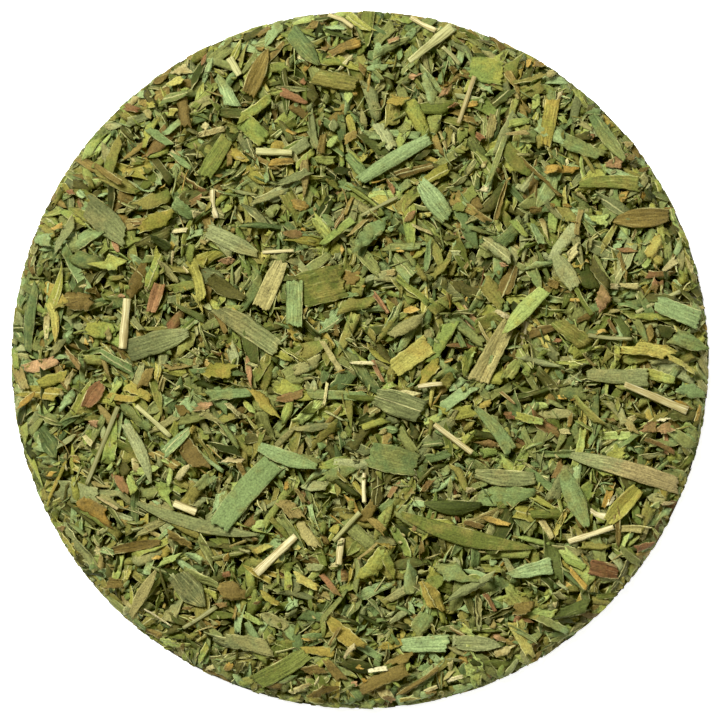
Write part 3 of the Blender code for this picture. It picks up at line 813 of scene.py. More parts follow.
def scatter(sorts, shares, tries, band, over, steepest=STEEPEST):
    """Draws sorts of strips, mixes them and lets them fall one by one, each on the lowest of a few spots.

    A sort is a count, a range of lengths and of widths, steps, tilt and the share that is rolled up. They
    fall anywhere between the two radii of the band, and stay where they poke up little over the heap's
    goal. At the toe they lie round its edge, and near it no steeper than they are told to."""
    batches, order = [], []
    chances = np.array([shares[kind] for kind in kinds])
    for count, lengths, widths, steps, tilt, rolled in sorts:
        sizes = rng.beta(1.5, 2.3, (count, 2))
        strips = Strips(
            lengths[0] + (lengths[1] - lengths[0]) * sizes[:, 0],
            widths[0] + (widths[1] - widths[0]) * sizes[:, 1],
            steps,
        )
        roll = rng.random(count) < rolled
        strips.curl[roll] = rng.normal(0, 0.7, roll.sum()) + rng.choice([-2.8, 3.0], roll.sum())
        leaning = rng.normal(0, tilt, (count, 2)) * (1.0, 1.6)
        seats = np.full((count, 6), np.nan)
        picks = rng.choice(len(kinds), count, p=chances / chances.sum())
        order += [(strips, leaning, seats, number) for number in range(count)]
        batches.append((strips, seats, picks, random_looks(count)))
    for place in rng.permutation(len(order)):
        strips, leaning, seats, number = order[place]
        spread = rng.random((tries, 2))
        radius = np.sqrt(band[0] ** 2 + (band[1] ** 2 - band[0] ** 2) * spread[:, 0])
        bearing = math.tau * spread[:, 1]
        x, y = heap.lowest_spot(np.column_stack([radius * np.cos(bearing), radius * np.sin(bearing)]))
        turn = rng.uniform(0, math.tau)
        if math.hypot(x, y) > TOE_START:
            turn = math.atan2(y, x) + math.pi / 2 + rng.normal(0, 0.35)
        found = heap.rest(
            x, y, turn, strips.length[number], strips.width[number], strips.bend[number],
            np.clip(strips.curl[number], -MOST_CURL, MOST_CURL), strips.thickness[number], leaning[number],
            steepest if math.hypot(x, y) > SLOPE_START else STEEPEST, over,
        )
        if found:
            seats[number] = (x, y, found[0], turn, *found[1:])
    return batches


def make_cuttings(batches, label):
    """One or more pieces for each kind of leaf, from the cuttings of all the batches."""
    for number, kind in enumerate(kinds):
        chosen = [
            np.flatnonzero((picks == number) & np.isfinite(seats[:, 0])) for _, seats, picks, _ in batches
        ]
        total = sum(len(picked) for picked in chosen)
        parts = max(1, round(total / PIECE_LIMIT))
        for part in range(parts if total else 0):
            pieces = Pieces()
            for (strips, seats, _, looks), picked in zip(batches, chosen):
                own = picked[part::parts]
                if not len(own):
                    continue
                pieces.add_leaves(
                    in_place(strips.middle(own), *seats[own].T), strips.thickness[own], strips.length[own],
                    strips.width[own] / 2, [column[own] for column in looks],
                )
            pieces.make(f"{kind}_{label}_{part + 1}", kind)


deep = scatter([
    (1300, (3.2, 6.8), (1.3, 2.5), (5, 3), 0.10, 0.05),
    (1700, (2.2, 5.6), (0.8, 2.0), (6, 4), 0.14, 0.10),
], DEEP_SHADED_SHARES, tries=6, band=(0.0, 48.6), over=0.3)
toe = scatter([
    (600, (1.2, 3.4), (0.7, 1.5), (5, 3), 0.10, 0.05),
], SHARES, tries=8, band=(49.1, 49.7), over=0.3, steepest=0.4)
toe += scatter([
    (1100, (1.8, 5.6), (0.9, 2.2), (5, 4), 0.14, 0.08),
], SHARES, tries=8, band=(46.5, 49.7), over=0.7)
toe += scatter([
    (700, (1.6, 4.6), (0.9, 1.9), (5, 4), 0.14, 0.08),
], SHARES, tries=14, band=(48.8, 49.5), over=1.2, steepest=0.7)
upper = scatter([
    (640, (3.6, 8.0), (1.3, 3.0), (8, 5), 0.16, 0.12),
    (1200, (2.2, 6.6), (0.6, 1.8), (7, 5), 0.22, 0.15),
    (1200, (1.1, 3.2), (0.7, 1.9), (5, 5), 0.28, 0.10),
    (1200, (0.5, 1.7), (0.35, 0.9), (4, 3), 0.36, 0.05),
    (360, (1.5, 5.5), (0.15, 0.4), (6, 3), 0.22, 0.40),
], SHARES, tries=3, band=(0.0, 49.3), over=1.0, steepest=0.5)
slender = scatter([
    (420, (3.6, 8.2), (1.0, 2.5), (8, 5), 0.12, 0.15),
], SHARES, tries=2, band=(0.0, 48.4), over=1.3)


# ---- Larger cuttings among the small ones ---------------------------------------------------------------
# Pieces of 1 to 12 mm that lie in the top layer: flat, folded down the middle or rolled up. Each row is a
# tint from 0 dark to 1 pale, the place and direction in plan, length and width. Small ones lie on larger.

PLACED = {
    ("folded", "grey"): [
        (0.3, -12.8, 23.4, 21, 5.5, 1.1), (0.3, -6.8, 32.8, -82, 5.4, 1.3),
        (0.6, -17.1, -42.4, 1, 9.3, 1.4), (0.4, -39.9, -26.7, -60, 8.3, 2), (0.5, 15.5, -32.7, 27, 7, 1.7),
    ],
    ("folded", "green"): [(0.5, 40.9, 16.3, -118, 5.8, 2.1), (0.2, 28.7, -13.3, 2, 9, 1.4)],
    ("folded", "bright"): [(0.5, -35.5, -11.5, -97, 5.6, 2)],
    ("folded", "yellow"): [(0.1, -43.5, -17.6, -115, 7.2, 1.1)],
    ("folded", "olive"): [(0.4, 5.6, -20.3, -128, 7.1, 1.7)],
    ("folded", "dark"): [(0.7, 26.7, -4, 16, 11.7, 1.1)],
    ("folded", "brown"): [(0.5, 8.5, -46, 35, 7, 1.1)],
    ("rolled", "brown"): [
        (0.3, 26, 25.9, -46, 7.2, 1.1), (0.4, 20.1, 22.8, -106, 5.8, 1.3), (0.6, 37.5, 13.3, -72, 4.1, 1.1),
    ],
    ("rolled", "yellow"): [(0.9, 28.5, -23.4, -115, 4.1, 1.1)],
    ("rolled", "grey"): [(0.6, 16.9, -36.3, -87, 4.9, 1.9)],
    ("rolled", "green"): [(0.9, 23.4, -39.2, -30, 5, 1)],
    ("rolled", "russet"): [(0.9, -41, 0.3, -50, 3.8, 1.2)],
    ("flat", "ochre"): [
        (0.4, -11.2, 28.3, 5, 3.6, 1.1), (0.3, -2.4, 44.6, 22, 5.3, 1.7), (0.3, 28.8, 27.2, 0, 4.3, 1.1),
        (0.1, -38, -21.4, -31, 5, 2.4), (0.3, 35.4, -19.5, 71, 3.5, 1.1), (0.5, -17.7, 6.7, -35, 1.8, 0.9),
        (0.4, -19.9, 5.4, -60, 3.5, 0.9), (0.2, -1.5, 11.7, 0, 2.5, 2.2), (0.7, 7.2, 7.2, 10, 2, 1.2),
        (0.4, -8.6, 22.1, -20, 2.5, 1.5), (0.8, 5.4, 15.8, 0, 1, 0.8), (0.6, 19.5, -23, -15, 4, 1),
        (0.3, 31.2, -31.3, -50, 3.5, 0.9), (0.6, 14.8, -42.7, 85, 2.2, 1.5), (0.4, -43.3, 19, 20, 2.5, 0.8),
        (0.4, 24.1, 42.4, 80, 1.8, 0.8), (0.3, 25.6, 42.4, 0, 2.2, 1.2), (0.5, 16.1, 36.6, 15, 1.6, 0.9),
        (0.9, 15.9, 34.3, -15, 3, 1), (0.4, 27.3, 27.3, 0, 2, 1.3), (0.4, 27.5, 22.1, 0, 1, 0.8),
        (0.4, 29.5, 22.1, 0, 1.2, 0.8), (0.5, 44.3, 21.4, 0, 2, 1), (0.5, -44.2, -16.3, 0, 0.9, 0.8),
        (0.5, -29, -28.2, 0, 1, 0.6), (0.4, -31.9, -28.2, 80, 2, 0.6), (0.6, -19.1, -28.2, 80, 1.2, 1),
        (0.3, -18.8, -43.9, 50, 1.6, 1.2), (0.5, -14.3, 44.5, 0, 1.2, 0.5), (0.2, 0.3, 41.6, -50, 1.5, 1),
        (0.3, 13.3, 41.5, -50, 1.5, 0.9), (0.6, -0.7, 38, 0, 0.8, 0.6), (0.2, -10.5, -17.9, 80, 1.1, 0.9),
        (0.2, 5.1, -32, 0, 0.8, 0.6), (0.7, 0, -43.9, 0, 1, 0.8), (0.2, 0.6, -45.8, 0, 0.8, 0.7),
        (0.6, 10.1, -47.5, 0, 1.6, 1), (0.3, -47.7, -5.7, 38, 4, 1), (0.8, -16.9, -15.6, -60, 2.5, 1),
        (0.5, 27.6, 10.9, -20, 1.6, 1.2), (0.6, 30.4, 8.6, 0, 2, 0.5), (0.6, 30, -8.6, 85, 1.8, 0.8),
        (0.6, 48.4, -7.6, 75, 2.5, 0.8), (0.3, 46.3, -6.4, -32, 2.5, 0.8),
    ],
    ("flat", "yellow"): [
        (0.1, -17.3, 29.2, -36, 3.4, 1.4), (0.1, -28.9, 20, 16, 4.2, 2.3), (0.7, -43.8, 9.6, -44, 5.2, 2),
        (0.7, 41.5, 1.5, -11, 6, 2.3), (0.9, -7.6, -31.7, -27, 3.8, 1.3), (0.4, -2.4, -39, -41, 6.5, 2.3),
        (0.7, 10.2, -33.7, -60, 4.8, 2.6), (0.1, 9.9, -1.6, -129, 4.1, 2), (0.2, -20.1, -1.5, 0, 4, 3),
        (0.4, -13.5, -6.2, -50, 5, 2), (0.9, -26.4, 39.8, 25, 2.2, 1.5), (0.6, -26.9, 35.4, 0, 1.6, 1.3),
        (0.6, -29.9, 36.5, 0, 1.3, 1), (0.6, -23.2, 11.2, -75, 5.5, 1.8), (0.7, -33.3, -30.7, 80, 1.2, 1),
        (0.2, -41.6, -26.5, -55, 3.2, 0.9), (0.2, -31.2, -34.1, 60, 7, 1.2), (0.3, 5.4, 37.1, 0, 2.5, 2),
        (0.6, 0.6, 29, 60, 1.8, 0.8), (0.1, 10.8, 26.5, 30, 4, 1.6), (0.7, -14, -26.9, 25, 2.5, 1),
        (0.4, 4, -26.5, 0, 2, 1.4), (0.2, -1.4, -30.7, 80, 2, 1), (0.2, -6, -41.6, -8, 4.8, 1.4),
        (0.6, 7.1, -48.5, 5, 2.8, 1), (0.3, 4.5, -40.6, 15, 3.2, 1.4), (0.3, -12.8, -34.1, -30, 3.2, 1.4),
        (0.2, -33.9, -5.4, -8, 4.5, 1), (0.6, -31.6, -4.5, -30, 4, 1.6), (0.8, -28.9, -1.8, 85, 2.4, 1),
        (0.9, -23.9, -9.9, 60, 1.8, 0.8), (0.1, -44, -2.8, 15, 4.5, 1.8), (0.7, 46, -0.6, -32, 6, 1.2),
        (0.9, 17.8, -6.4, 20, 1.8, 1), (0.9, 42.9, 16.3, 0, 1, 0.8),
    ],
    ("flat", "dark"): [
        (0.7, -19.1, 10.2, -29, 5.9, 2.3), (0.8, -10.3, 11.7, 0, 3, 0.8), (0.9, 37.3, -30.9, 60, 5, 1.5),
        (0.8, 30.4, -35.7, 20, 5, 2), (0.1, -24.4, 29.3, 0, 1.8, 1.5), (0.2, -28.5, 16.7, -30, 3, 1.5),
        (0.8, 20.2, 37.5, 40, 3.2, 1.6), (0, -17.4, -43.9, 70, 1.8, 1.6), (0.2, 43.6, 4.1, -20, 2.8, 1.8),
        (0.9, 46, -7.9, -5, 4.5, 1.8),
    ],
    ("flat", "brown"): [
        (0.2, -31.8, 11.4, -119, 5.3, 2.3), (0.3, -40, 8.4, 0, 3.4, 2.9), (0.9, 21.6, 40.2, -60, 5.7, 1.4),
        (0.5, -25.7, -25.7, -31, 3.9, 1.7), (0.2, -24, -13.5, -51, 5.2, 2.6),
        (0.6, -18.3, -33, 0, 3.7, 2.9), (0.5, 3.4, -45.6, 23, 7.5, 2), (0.7, 23.2, -35.5, 0, 2.5, 2),
        (0.5, -36.1, 26.6, -35, 5, 1), (0.5, 23.8, 36.1, -50, 2, 1), (0.9, 38.7, 29, 0, 1.8, 1),
        (0.2, 25, 21.4, 0, 1.6, 1.3), (0.6, -35.1, -31.9, 0, 2.5, 2), (0.8, -25.4, -41, 80, 1.5, 0.8),
        (0.8, -12.2, 44, 45, 4, 0.9), (0.4, -5.4, 31, 80, 3, 1.2), (0.6, -1.4, 31.9, 30, 2, 1.3),
        (0.2, 7.9, 27.1, 15, 5.5, 1.3), (0.8, -1.6, 22.1, 65, 3, 0.6), (0.6, 1.1, -21.7, 60, 3.2, 1.6),
        (0.7, 2.5, -23.6, -45, 3, 1.3), (1, -3.7, -39.5, 60, 4, 0.5), (0, -6.5, -44.3, 10, 2.5, 1.6),
        (0.7, -3.7, -44.3, -50, 4, 1.4), (0.1, -5.5, -47.4, 30, 3.2, 1.6), (0.5, 6, -42.6, 30, 3, 2),
        (0.9, -30.5, -2.5, 65, 3, 1.6), (0.3, -25.5, -7.1, -50, 2.2, 1.6),
        (0.7, -27.9, -14.2, -30, 4.5, 1.4), (1, -38.4, 9.9, -10, 2.5, 0.8), (0.3, 21.2, 11.3, 65, 4.5, 2),
    ],
    ("flat", "bright"): [
        (0.5, -29.5, 13, -111, 5.7, 2.3), (0.5, -15, 35.9, 34, 5.2, 1.6), (1, 42.7, -2.3, -16, 4.8, 1.7),
        (0.9, 16.3, -43.9, -98, 4.1, 2.7), (0.6, 2.3, -29, 55, 5.5, 2.6), (0.6, -3.3, 18.3, 38, 6, 1.2),
        (0.9, 15.3, -38.7, -30, 2.2, 1.3), (0.5, 30.6, -29, -25, 3.5, 1.2), (0.4, -15.2, 32.8, -45, 4.5, 3),
        (0.9, -35.5, 13.9, -15, 3, 2.2), (0.8, 18, 41.5, 60, 4, 3.2), (0.8, 22.8, 34, 10, 3.5, 1.3),
        (0.8, 25.2, 37, 85, 2, 1.2), (0.7, 32.3, 33, 50, 2.2, 1.2), (1, 34.4, 20, 0, 2.2, 1.8),
        (0.6, 22.8, 18.8, -50, 3, 1), (0.7, 29, 34.4, 0, 1.3, 1.3), (0.7, -32.6, -17.7, -70, 2.8, 1.2),
        (1, -27.2, -28.5, 20, 2.8, 1), (0.7, -27.1, -40.4, 0, 3, 1.6), (0.5, -22.5, -42.1, 65, 4, 1),
        (0.6, -27.9, -18.8, -50, 2.6, 1.8), (1, -0.3, 48.3, -35, 4.5, 1.6), (0.9, -1.7, 37.8, 80, 2, 1.5),
        (0.6, 6.2, 32.2, 65, 4.5, 1.6), (0.8, -4, 31.2, 60, 2, 1.2), (0.3, 4.2, -29.3, -65, 4.5, 1.4),
        (0.8, -15.3, -37, -30, 3, 1), (0.4, -37.3, 4.3, -10, 3.8, 2.4), (0.6, 24.2, -8.4, -15, 4, 1.2),
        (0.9, 36.5, -13.7, 20, 2.4, 1.8), (0.9, 30.6, -0.8, 0, 1.8, 1.5), (0.3, 42.1, 6.2, -2, 6, 1.1),
    ],
    ("flat", "olive"): [
        (0.5, -29.5, 22.8, 19, 4.8, 2.3), (0.5, 7, 23.1, 45, 4.9, 2), (0.3, 22.4, 28.5, -44, 5.6, 2.3),
        (0.6, 19.1, 9.2, -52, 4.7, 2.4), (0.5, 30.1, 3.9, -34, 5.9, 2.6), (0.5, -35.2, 29.3, 70, 5.5, 1.6),
        (0.3, 24.1, 40.2, 17, 4.9, 0.9), (0.7, 29.3, 20.8, -40, 2.8, 2), (0.8, 15, 22.8, 50, 4.5, 1.8),
        (0.3, -11.2, -41.2, 0, 2.8, 2.6), (0.3, 31.8, 8.5, -60, 5, 0.8), (0.8, 21.7, -1.4, 55, 3, 1.8),
    ],
    ("flat", "grey"): [
        (0.4, -9.4, 26.1, 23, 4.8, 1.3), (0.9, 19.6, 15.8, -36, 4.4, 2), (0.5, 6.5, 4.7, 26, 5.3, 2),
        (0.6, -40.4, -19, -8, 6.1, 3.2), (0.5, -16, -40.6, -11, 6.6, 2.4), (0.6, -7.2, 12, -50, 5, 1),
        (0.6, -42.3, 17.8, 60, 5, 1.5), (0.9, 23.9, 25.4, 55, 3.5, 0.9), (0.5, 27.6, 21.4, -50, 3.8, 1),
        (0.3, -29.9, -23.9, 25, 4, 1.6), (1, 3.7, 31.9, -60, 4.2, 1.8), (0.6, -6.5, -29.6, 0, 3, 1.1),
        (0.5, 5.4, -36.7, 35, 2.8, 1),
    ],
    ("flat", "green"): [
        (0.5, 31.9, 30.3, -23, 5.8, 2.1), (0.6, 35.8, 21.1, -121, 5, 2.1), (0.5, 47.1, 2.5, -21, 5.7, 2.4),
        (0.4, -32, -8.3, -37, 5.4, 1.9), (0.5, -22.6, -31.3, -21, 5.5, 1.7),
        (0.2, -8.9, -40.7, -82, 4.2, 1.6), (0.3, -33.7, -36, -40, 8.2, 1.4),
        (0.5, 47.4, -4.5, -10, 4.8, 2.1), (0.7, 1.2, 18, 20, 4, 3), (0.6, -18.4, -4.8, 3, 6.5, 1.6),
        (0.6, -3, -5, -2, 9, 1.4), (0.4, -15.5, 9.2, 55, 6, 1.8), (0.5, -1.9, 9.2, 8, 3.2, 1.2),
        (0.5, 20.6, -19.4, -5, 6.5, 3), (0.3, 25.7, -17, -40, 5, 1.2), (0.6, 34, -26.7, -75, 5.5, 2.2),
        (0.5, 38.7, -28.1, -40, 5, 1.3), (0.7, 27.6, -37.8, -25, 5, 1.2), (0.5, -26.4, 37.7, 15, 4, 1.2),
        (0.8, -26.7, 33.3, 40, 3, 1.2), (0.6, -28.7, 31.9, -35, 4, 1.3), (0.6, -45.4, 17.3, 0, 3.5, 2),
        (0.5, -25.3, 21.5, -40, 3.5, 2), (0.5, 24.2, 31.9, 0, 2.4, 2), (0.6, 19.5, 28.5, 70, 7, 1),
        (0.8, 37.5, 17.7, 60, 3, 1.8), (0.8, 25.3, 18, -60, 3.2, 1.3), (0.9, -23.7, -28.2, -30, 2.8, 1.3),
        (0.9, -20.3, -20.3, 70, 3, 1.5), (0.6, -22.2, -17.4, 40, 3, 1.8), (0.8, -12.5, 46.6, 50, 4.5, 1.8),
        (0.8, 2.5, 41.8, 0, 2.8, 1), (0.7, 4.5, 44.8, 25, 6, 1.4), (0.1, -3.7, -35, 50, 6, 0.9),
        (0.6, 8.9, -37.5, 55, 3.8, 2.6), (0.6, 13, -30.2, 0, 4, 3), (0.8, -26.1, -11.6, 45, 5, 1.6),
        (0.4, -34.7, -0.3, -30, 5.5, 1.5), (0.7, -41.8, -5.7, 45, 3, 1.6), (0.6, 46, -11.3, -35, 4.5, 1.8),
    ],
    ("flat", "tan"): [
        (0.5, -7.6, -24.8, -58, 4.9, 1.7), (1, 4.4, 12.5, 0, 1.2, 1), (0.7, -0.3, 19, 40, 4, 0.9),
        (0.6, -4, 0.4, -58, 5.5, 0.8), (1, -4.9, -4.8, 80, 3.5, 0.6), (0.9, 20.4, -41.7, 15, 2.5, 1.3),
        (1, -25.5, 41.6, 0, 2.5, 1.8), (0.8, -21.3, 32.6, 15, 4, 0.9), (1, -23.4, 20.8, 0, 1.5, 1.2),
        (0.7, 27.2, 40.9, 50, 1.8, 1.2), (0.2, 18.8, 33.3, 80, 3.2, 1.4), (0.9, 22.4, 32.4, 5, 3.2, 0.8),
        (0.5, 38.5, 31, 20, 2, 1), (1, 17.7, 27.9, 70, 1, 0.6), (0.5, 31.6, 23.4, -45, 2.5, 1),
        (0.4, 31.2, 19.7, 80, 3.8, 0.8), (0.8, 39.2, 18, 60, 2, 0.6), (0.3, -37, -17.8, -5, 2.8, 0.9),
        (0.5, -37.1, -28.8, 80, 2, 0.8), (0.7, -21.4, -44, 15, 1.4, 0.7), (0.9, 8.8, 18.7, -20, 3.2, 0.5),
        (0.3, -8.5, -19.4, -60, 2.5, 0.8), (0.4, -9.9, -21.4, -50, 3, 2.2),
        (0.9, -3.7, -29.3, 10, 1.2, 0.7), (0.5, 1.1, -27.3, 40, 3.8, 0.5), (0.8, -8.5, -46.9, 28, 3.8, 0.8),
        (0.9, -41.5, -2.7, 65, 2.8, 0.9), (0.8, -18, -7.1, -40, 3, 1), (0.8, -39.5, 10.6, 0, 1.2, 0.6),
        (0.2, -48.4, -2.8, -65, 3.5, 1.6), (0.7, 30.3, 15.2, 50, 2.2, 1.4), (0.5, 38.4, 10.6, -5, 2.8, 0.8),
        (0.6, 17.8, 3.7, -60, 3.8, 0.5), (0.4, 32.7, 0, -42, 2.8, 0.5), (0.7, 29.3, -10.2, 0, 1.6, 0.9),
        (0.2, 38.7, -9.5, -60, 2.4, 1.2), (0.6, 47.2, 13.3, -60, 1.8, 1),
    ],
    ("flat", "cream"): [
        (0.6, -18.1, -14.3, 0, 2.9, 0.9), (0.4, -15.6, 5.4, -15, 1.8, 0.5), (0.5, 0.2, -0.4, 0, 3.5, 0.5),
        (0.3, 15.8, -18.6, 0, 1.5, 1), (0.7, 35.9, -20, 70, 1.5, 1), (0.6, 44, -20.5, 0, 2, 0.6),
        (0.4, -25.7, 18.5, 5, 2.2, 0.7), (0.4, 28.5, 37.8, 70, 2, 0.6), (0.6, 17.8, 24.5, 0, 1, 1),
        (0.3, -36.1, -20.4, -30, 3.5, 0.5), (0.8, -28.9, -36.8, -32, 4.5, 0.4),
        (0.8, -0.7, 39.9, 0, 1, 0.8), (0.2, -2.1, 42.5, 52, 2.8, 0.6), (0.7, 7.8, -16.3, -70, 1.2, 0.7),
        (0.3, -1.6, -41.6, 45, 2.8, 0.8), (0.8, 2.5, -44.2, 8, 2.8, 0.8), (0.3, -6.2, -46, 60, 1.2, 0.5),
        (0.5, 10.2, -47, 20, 2, 0.6), (0.5, 13.7, -45.5, 15, 2.2, 0.7), (0.1, -39, -11.3, -45, 2.4, 0.8),
        (0.2, -25.4, -16.1, 55, 3, 1), (0.4, -26.8, 14.6, 85, 2, 0.4), (0.4, -24.9, 12.9, -60, 1.2, 0.4),
        (0.4, 36.3, 10.5, 0, 1.2, 1), (0.7, 20.4, 6.5, -30, 2.5, 0.8), (0.7, 43.3, -8.5, 0, 1.2, 0.8),
        (0.1, 44.3, 13.6, 40, 3, 1),
    ],
    ("flat", "russet"): [
        (0.5, -4.3, -32.1, -52, 4.2, 0.9), (0.5, 3, 8.1, -55, 3.5, 0.8), (0.7, -9.6, 18, 0, 3, 1.5),
        (0.5, -10, -5.2, 15, 4, 1.5), (0.9, -22.4, -6.6, 0, 1.5, 1.5), (0.7, 2.5, -1.6, -65, 3.5, 0.7),
        (0.3, 16.3, -23.5, -15, 3, 0.9), (0.4, 28.3, -15.7, 70, 3, 1.2), (0.6, 18.6, -12, -20, 2.5, 1.5),
        (0.2, 40.7, -26.7, 10, 3.5, 1.2), (0.2, 18.6, -34.6, -60, 3, 0.8), (0.4, -22.4, 42.8, 80, 1.7, 0.8),
        (0.2, -32.7, 36, -20, 2.5, 1.2), (0.5, -23.4, 22.9, 35, 2.2, 0.9), (0.8, -32, 19.7, 0, 1.3, 1.3),
        (0.1, -40, 22, -75, 2.5, 0.7), (0.3, -41.4, 24, 0, 1.5, 0.8), (0.7, -19, 14.2, 0, 2, 1.5),
        (0.8, 19.1, 39.7, 0, 1.3, 1), (0.2, 17.1, 31.9, -40, 2.2, 1), (0.6, 32.9, 31.9, 0, 1.2, 0.9),
        (0.9, 36.4, 28.2, 15, 3, 1.6), (0.3, -34, -17.7, -60, 3.2, 1.4), (0.2, -42.8, -24.2, 0, 1.5, 1),
        (0.3, -19.7, -35, 10, 1.6, 0.8), (0.4, -19.1, -30.6, 20, 1.8, 0.9),
        (0.5, -24.8, -35.5, 0, 1.4, 0.6), (0.5, -5.1, 44.5, 0, 1.2, 1), (0.6, -9.4, 37.5, -25, 4, 1.2),
        (0.6, -8.1, 39.8, 70, 1.2, 0.9), (0.8, 4.8, 45.8, 20, 1.6, 1), (0.8, 12.2, 38.4, 60, 1.4, 1.2),
        (0.4, 13.5, 36.4, 0, 1, 1), (0.9, 7.5, 40.5, 0, 1.2, 1), (0.4, 4.4, 24.8, -55, 2.2, 0.8),
        (0.8, 7.1, 20.5, 55, 1.8, 1.2), (0.5, -2.8, 20.3, 60, 3.5, 0.7), (0.6, -15, -25.6, 0, 0.9, 0.8),
        (0.6, 4.8, -18.5, 55, 2.8, 1), (0.3, 9.5, -18, 55, 2.5, 1), (0.8, 7.8, -23.9, 70, 1.2, 0.6),
        (0.4, 13.9, -38.8, -30, 2.5, 0.5), (0.9, -0.9, -46.3, 0, 1, 0.8), (1, 4.1, -48.4, -25, 2.2, 0.9),
        (0.6, -14.7, -34.7, 0, 1, 0.7), (0.2, -20.5, 1, -20, 1.6, 0.5), (1, -38.1, -9.1, 0, 1.5, 1.3),
        (1, -34.1, 9.1, 0, 1.2, 0.8), (0.5, 38.1, 15.7, 5, 2.2, 0.8), (0.9, 20.4, 13.6, 0, 1.2, 0.8),
        (0.9, 34.7, 8.8, 60, 2.9, 2.3), (0.5, 42.1, 10.6, 80, 1.8, 1.2), (0.4, 28.3, 2.8, 0, 1.2, 0.6),
        (0.4, 36, 4.8, -60, 2.5, 0.6), (0.9, 21.1, -5.4, -40, 3, 0.5), (0.3, 21.2, -7.9, 0, 1.4, 1.2),
        (0.3, 35.8, -8.5, 0, 1.2, 0.8), (0.6, 41.5, -9.6, 0, 1.8, 1.6), (1, 43.6, -9.8, 20, 2.2, 1.6),
        (0.1, 42.9, -12.2, -25, 5, 0.8),
    ],
}
PLACED_STEPS = (12, 7)
ROLLED_CURL = 3.4
FLAT_CURLS = (-0.9, 0.1)
FOLDS = (-1.2, 1.1)
rows = [(form, kind, *row) for (form, kind), group in PLACED.items() for row in group]
rows.sort(key=lambda row: -row[6] * row[7])
forms, placed_kinds = np.array([row[0] for row in rows]), np.array([kinds.index(row[1]) for row in rows])
tint, x, y, turn, length, width = np.array([row[2:] for row in rows], float).T
turn = np.radians(turn)
placed = Strips(length, width, PLACED_STEPS)
folded = forms == "folded"
placed.curl = np.select([forms == "rolled", folded], [ROLLED_CURL, 0.0], rng.uniform(*FLAT_CURLS, len(rows)))
placed.fold = np.where(folded, rng.choice(FOLDS, len(rows)), 0.0)
placed.bend *= 0.5
placed.tips *= 0.5
lying = zip(x, y, turn, length, width, placed.bend, np.minimum(placed.curl, 1.0), placed.thickness)
z, slope_along, slope_across = np.array([heap.rest(*each, seated=1.0) for each in lying]).T
seats = np.column_stack([x, y, z, turn, slope_along, slope_across])
placed_looks = (tint[:, None] + rng.normal(0, 0.1, (len(rows), 2)), *random_looks(len(rows))[1:])
placed_batch = (placed, seats, placed_kinds, placed_looks)
make_cuttings(deep + toe + upper + slender + [placed_batch], "cuttings")


# ---- The loose leaf cuttings ------------------------------------------------------------------------------
# The longest and broadest pieces, on top where the frame has them. Each row is the node's number, finish,
# tint and age at the left and right end, how streaked it is, its roll and fold as angles, below 0 where they
# rise to a ridge, how pleated it is, and its width at the left, the middle and the right over the solid's.

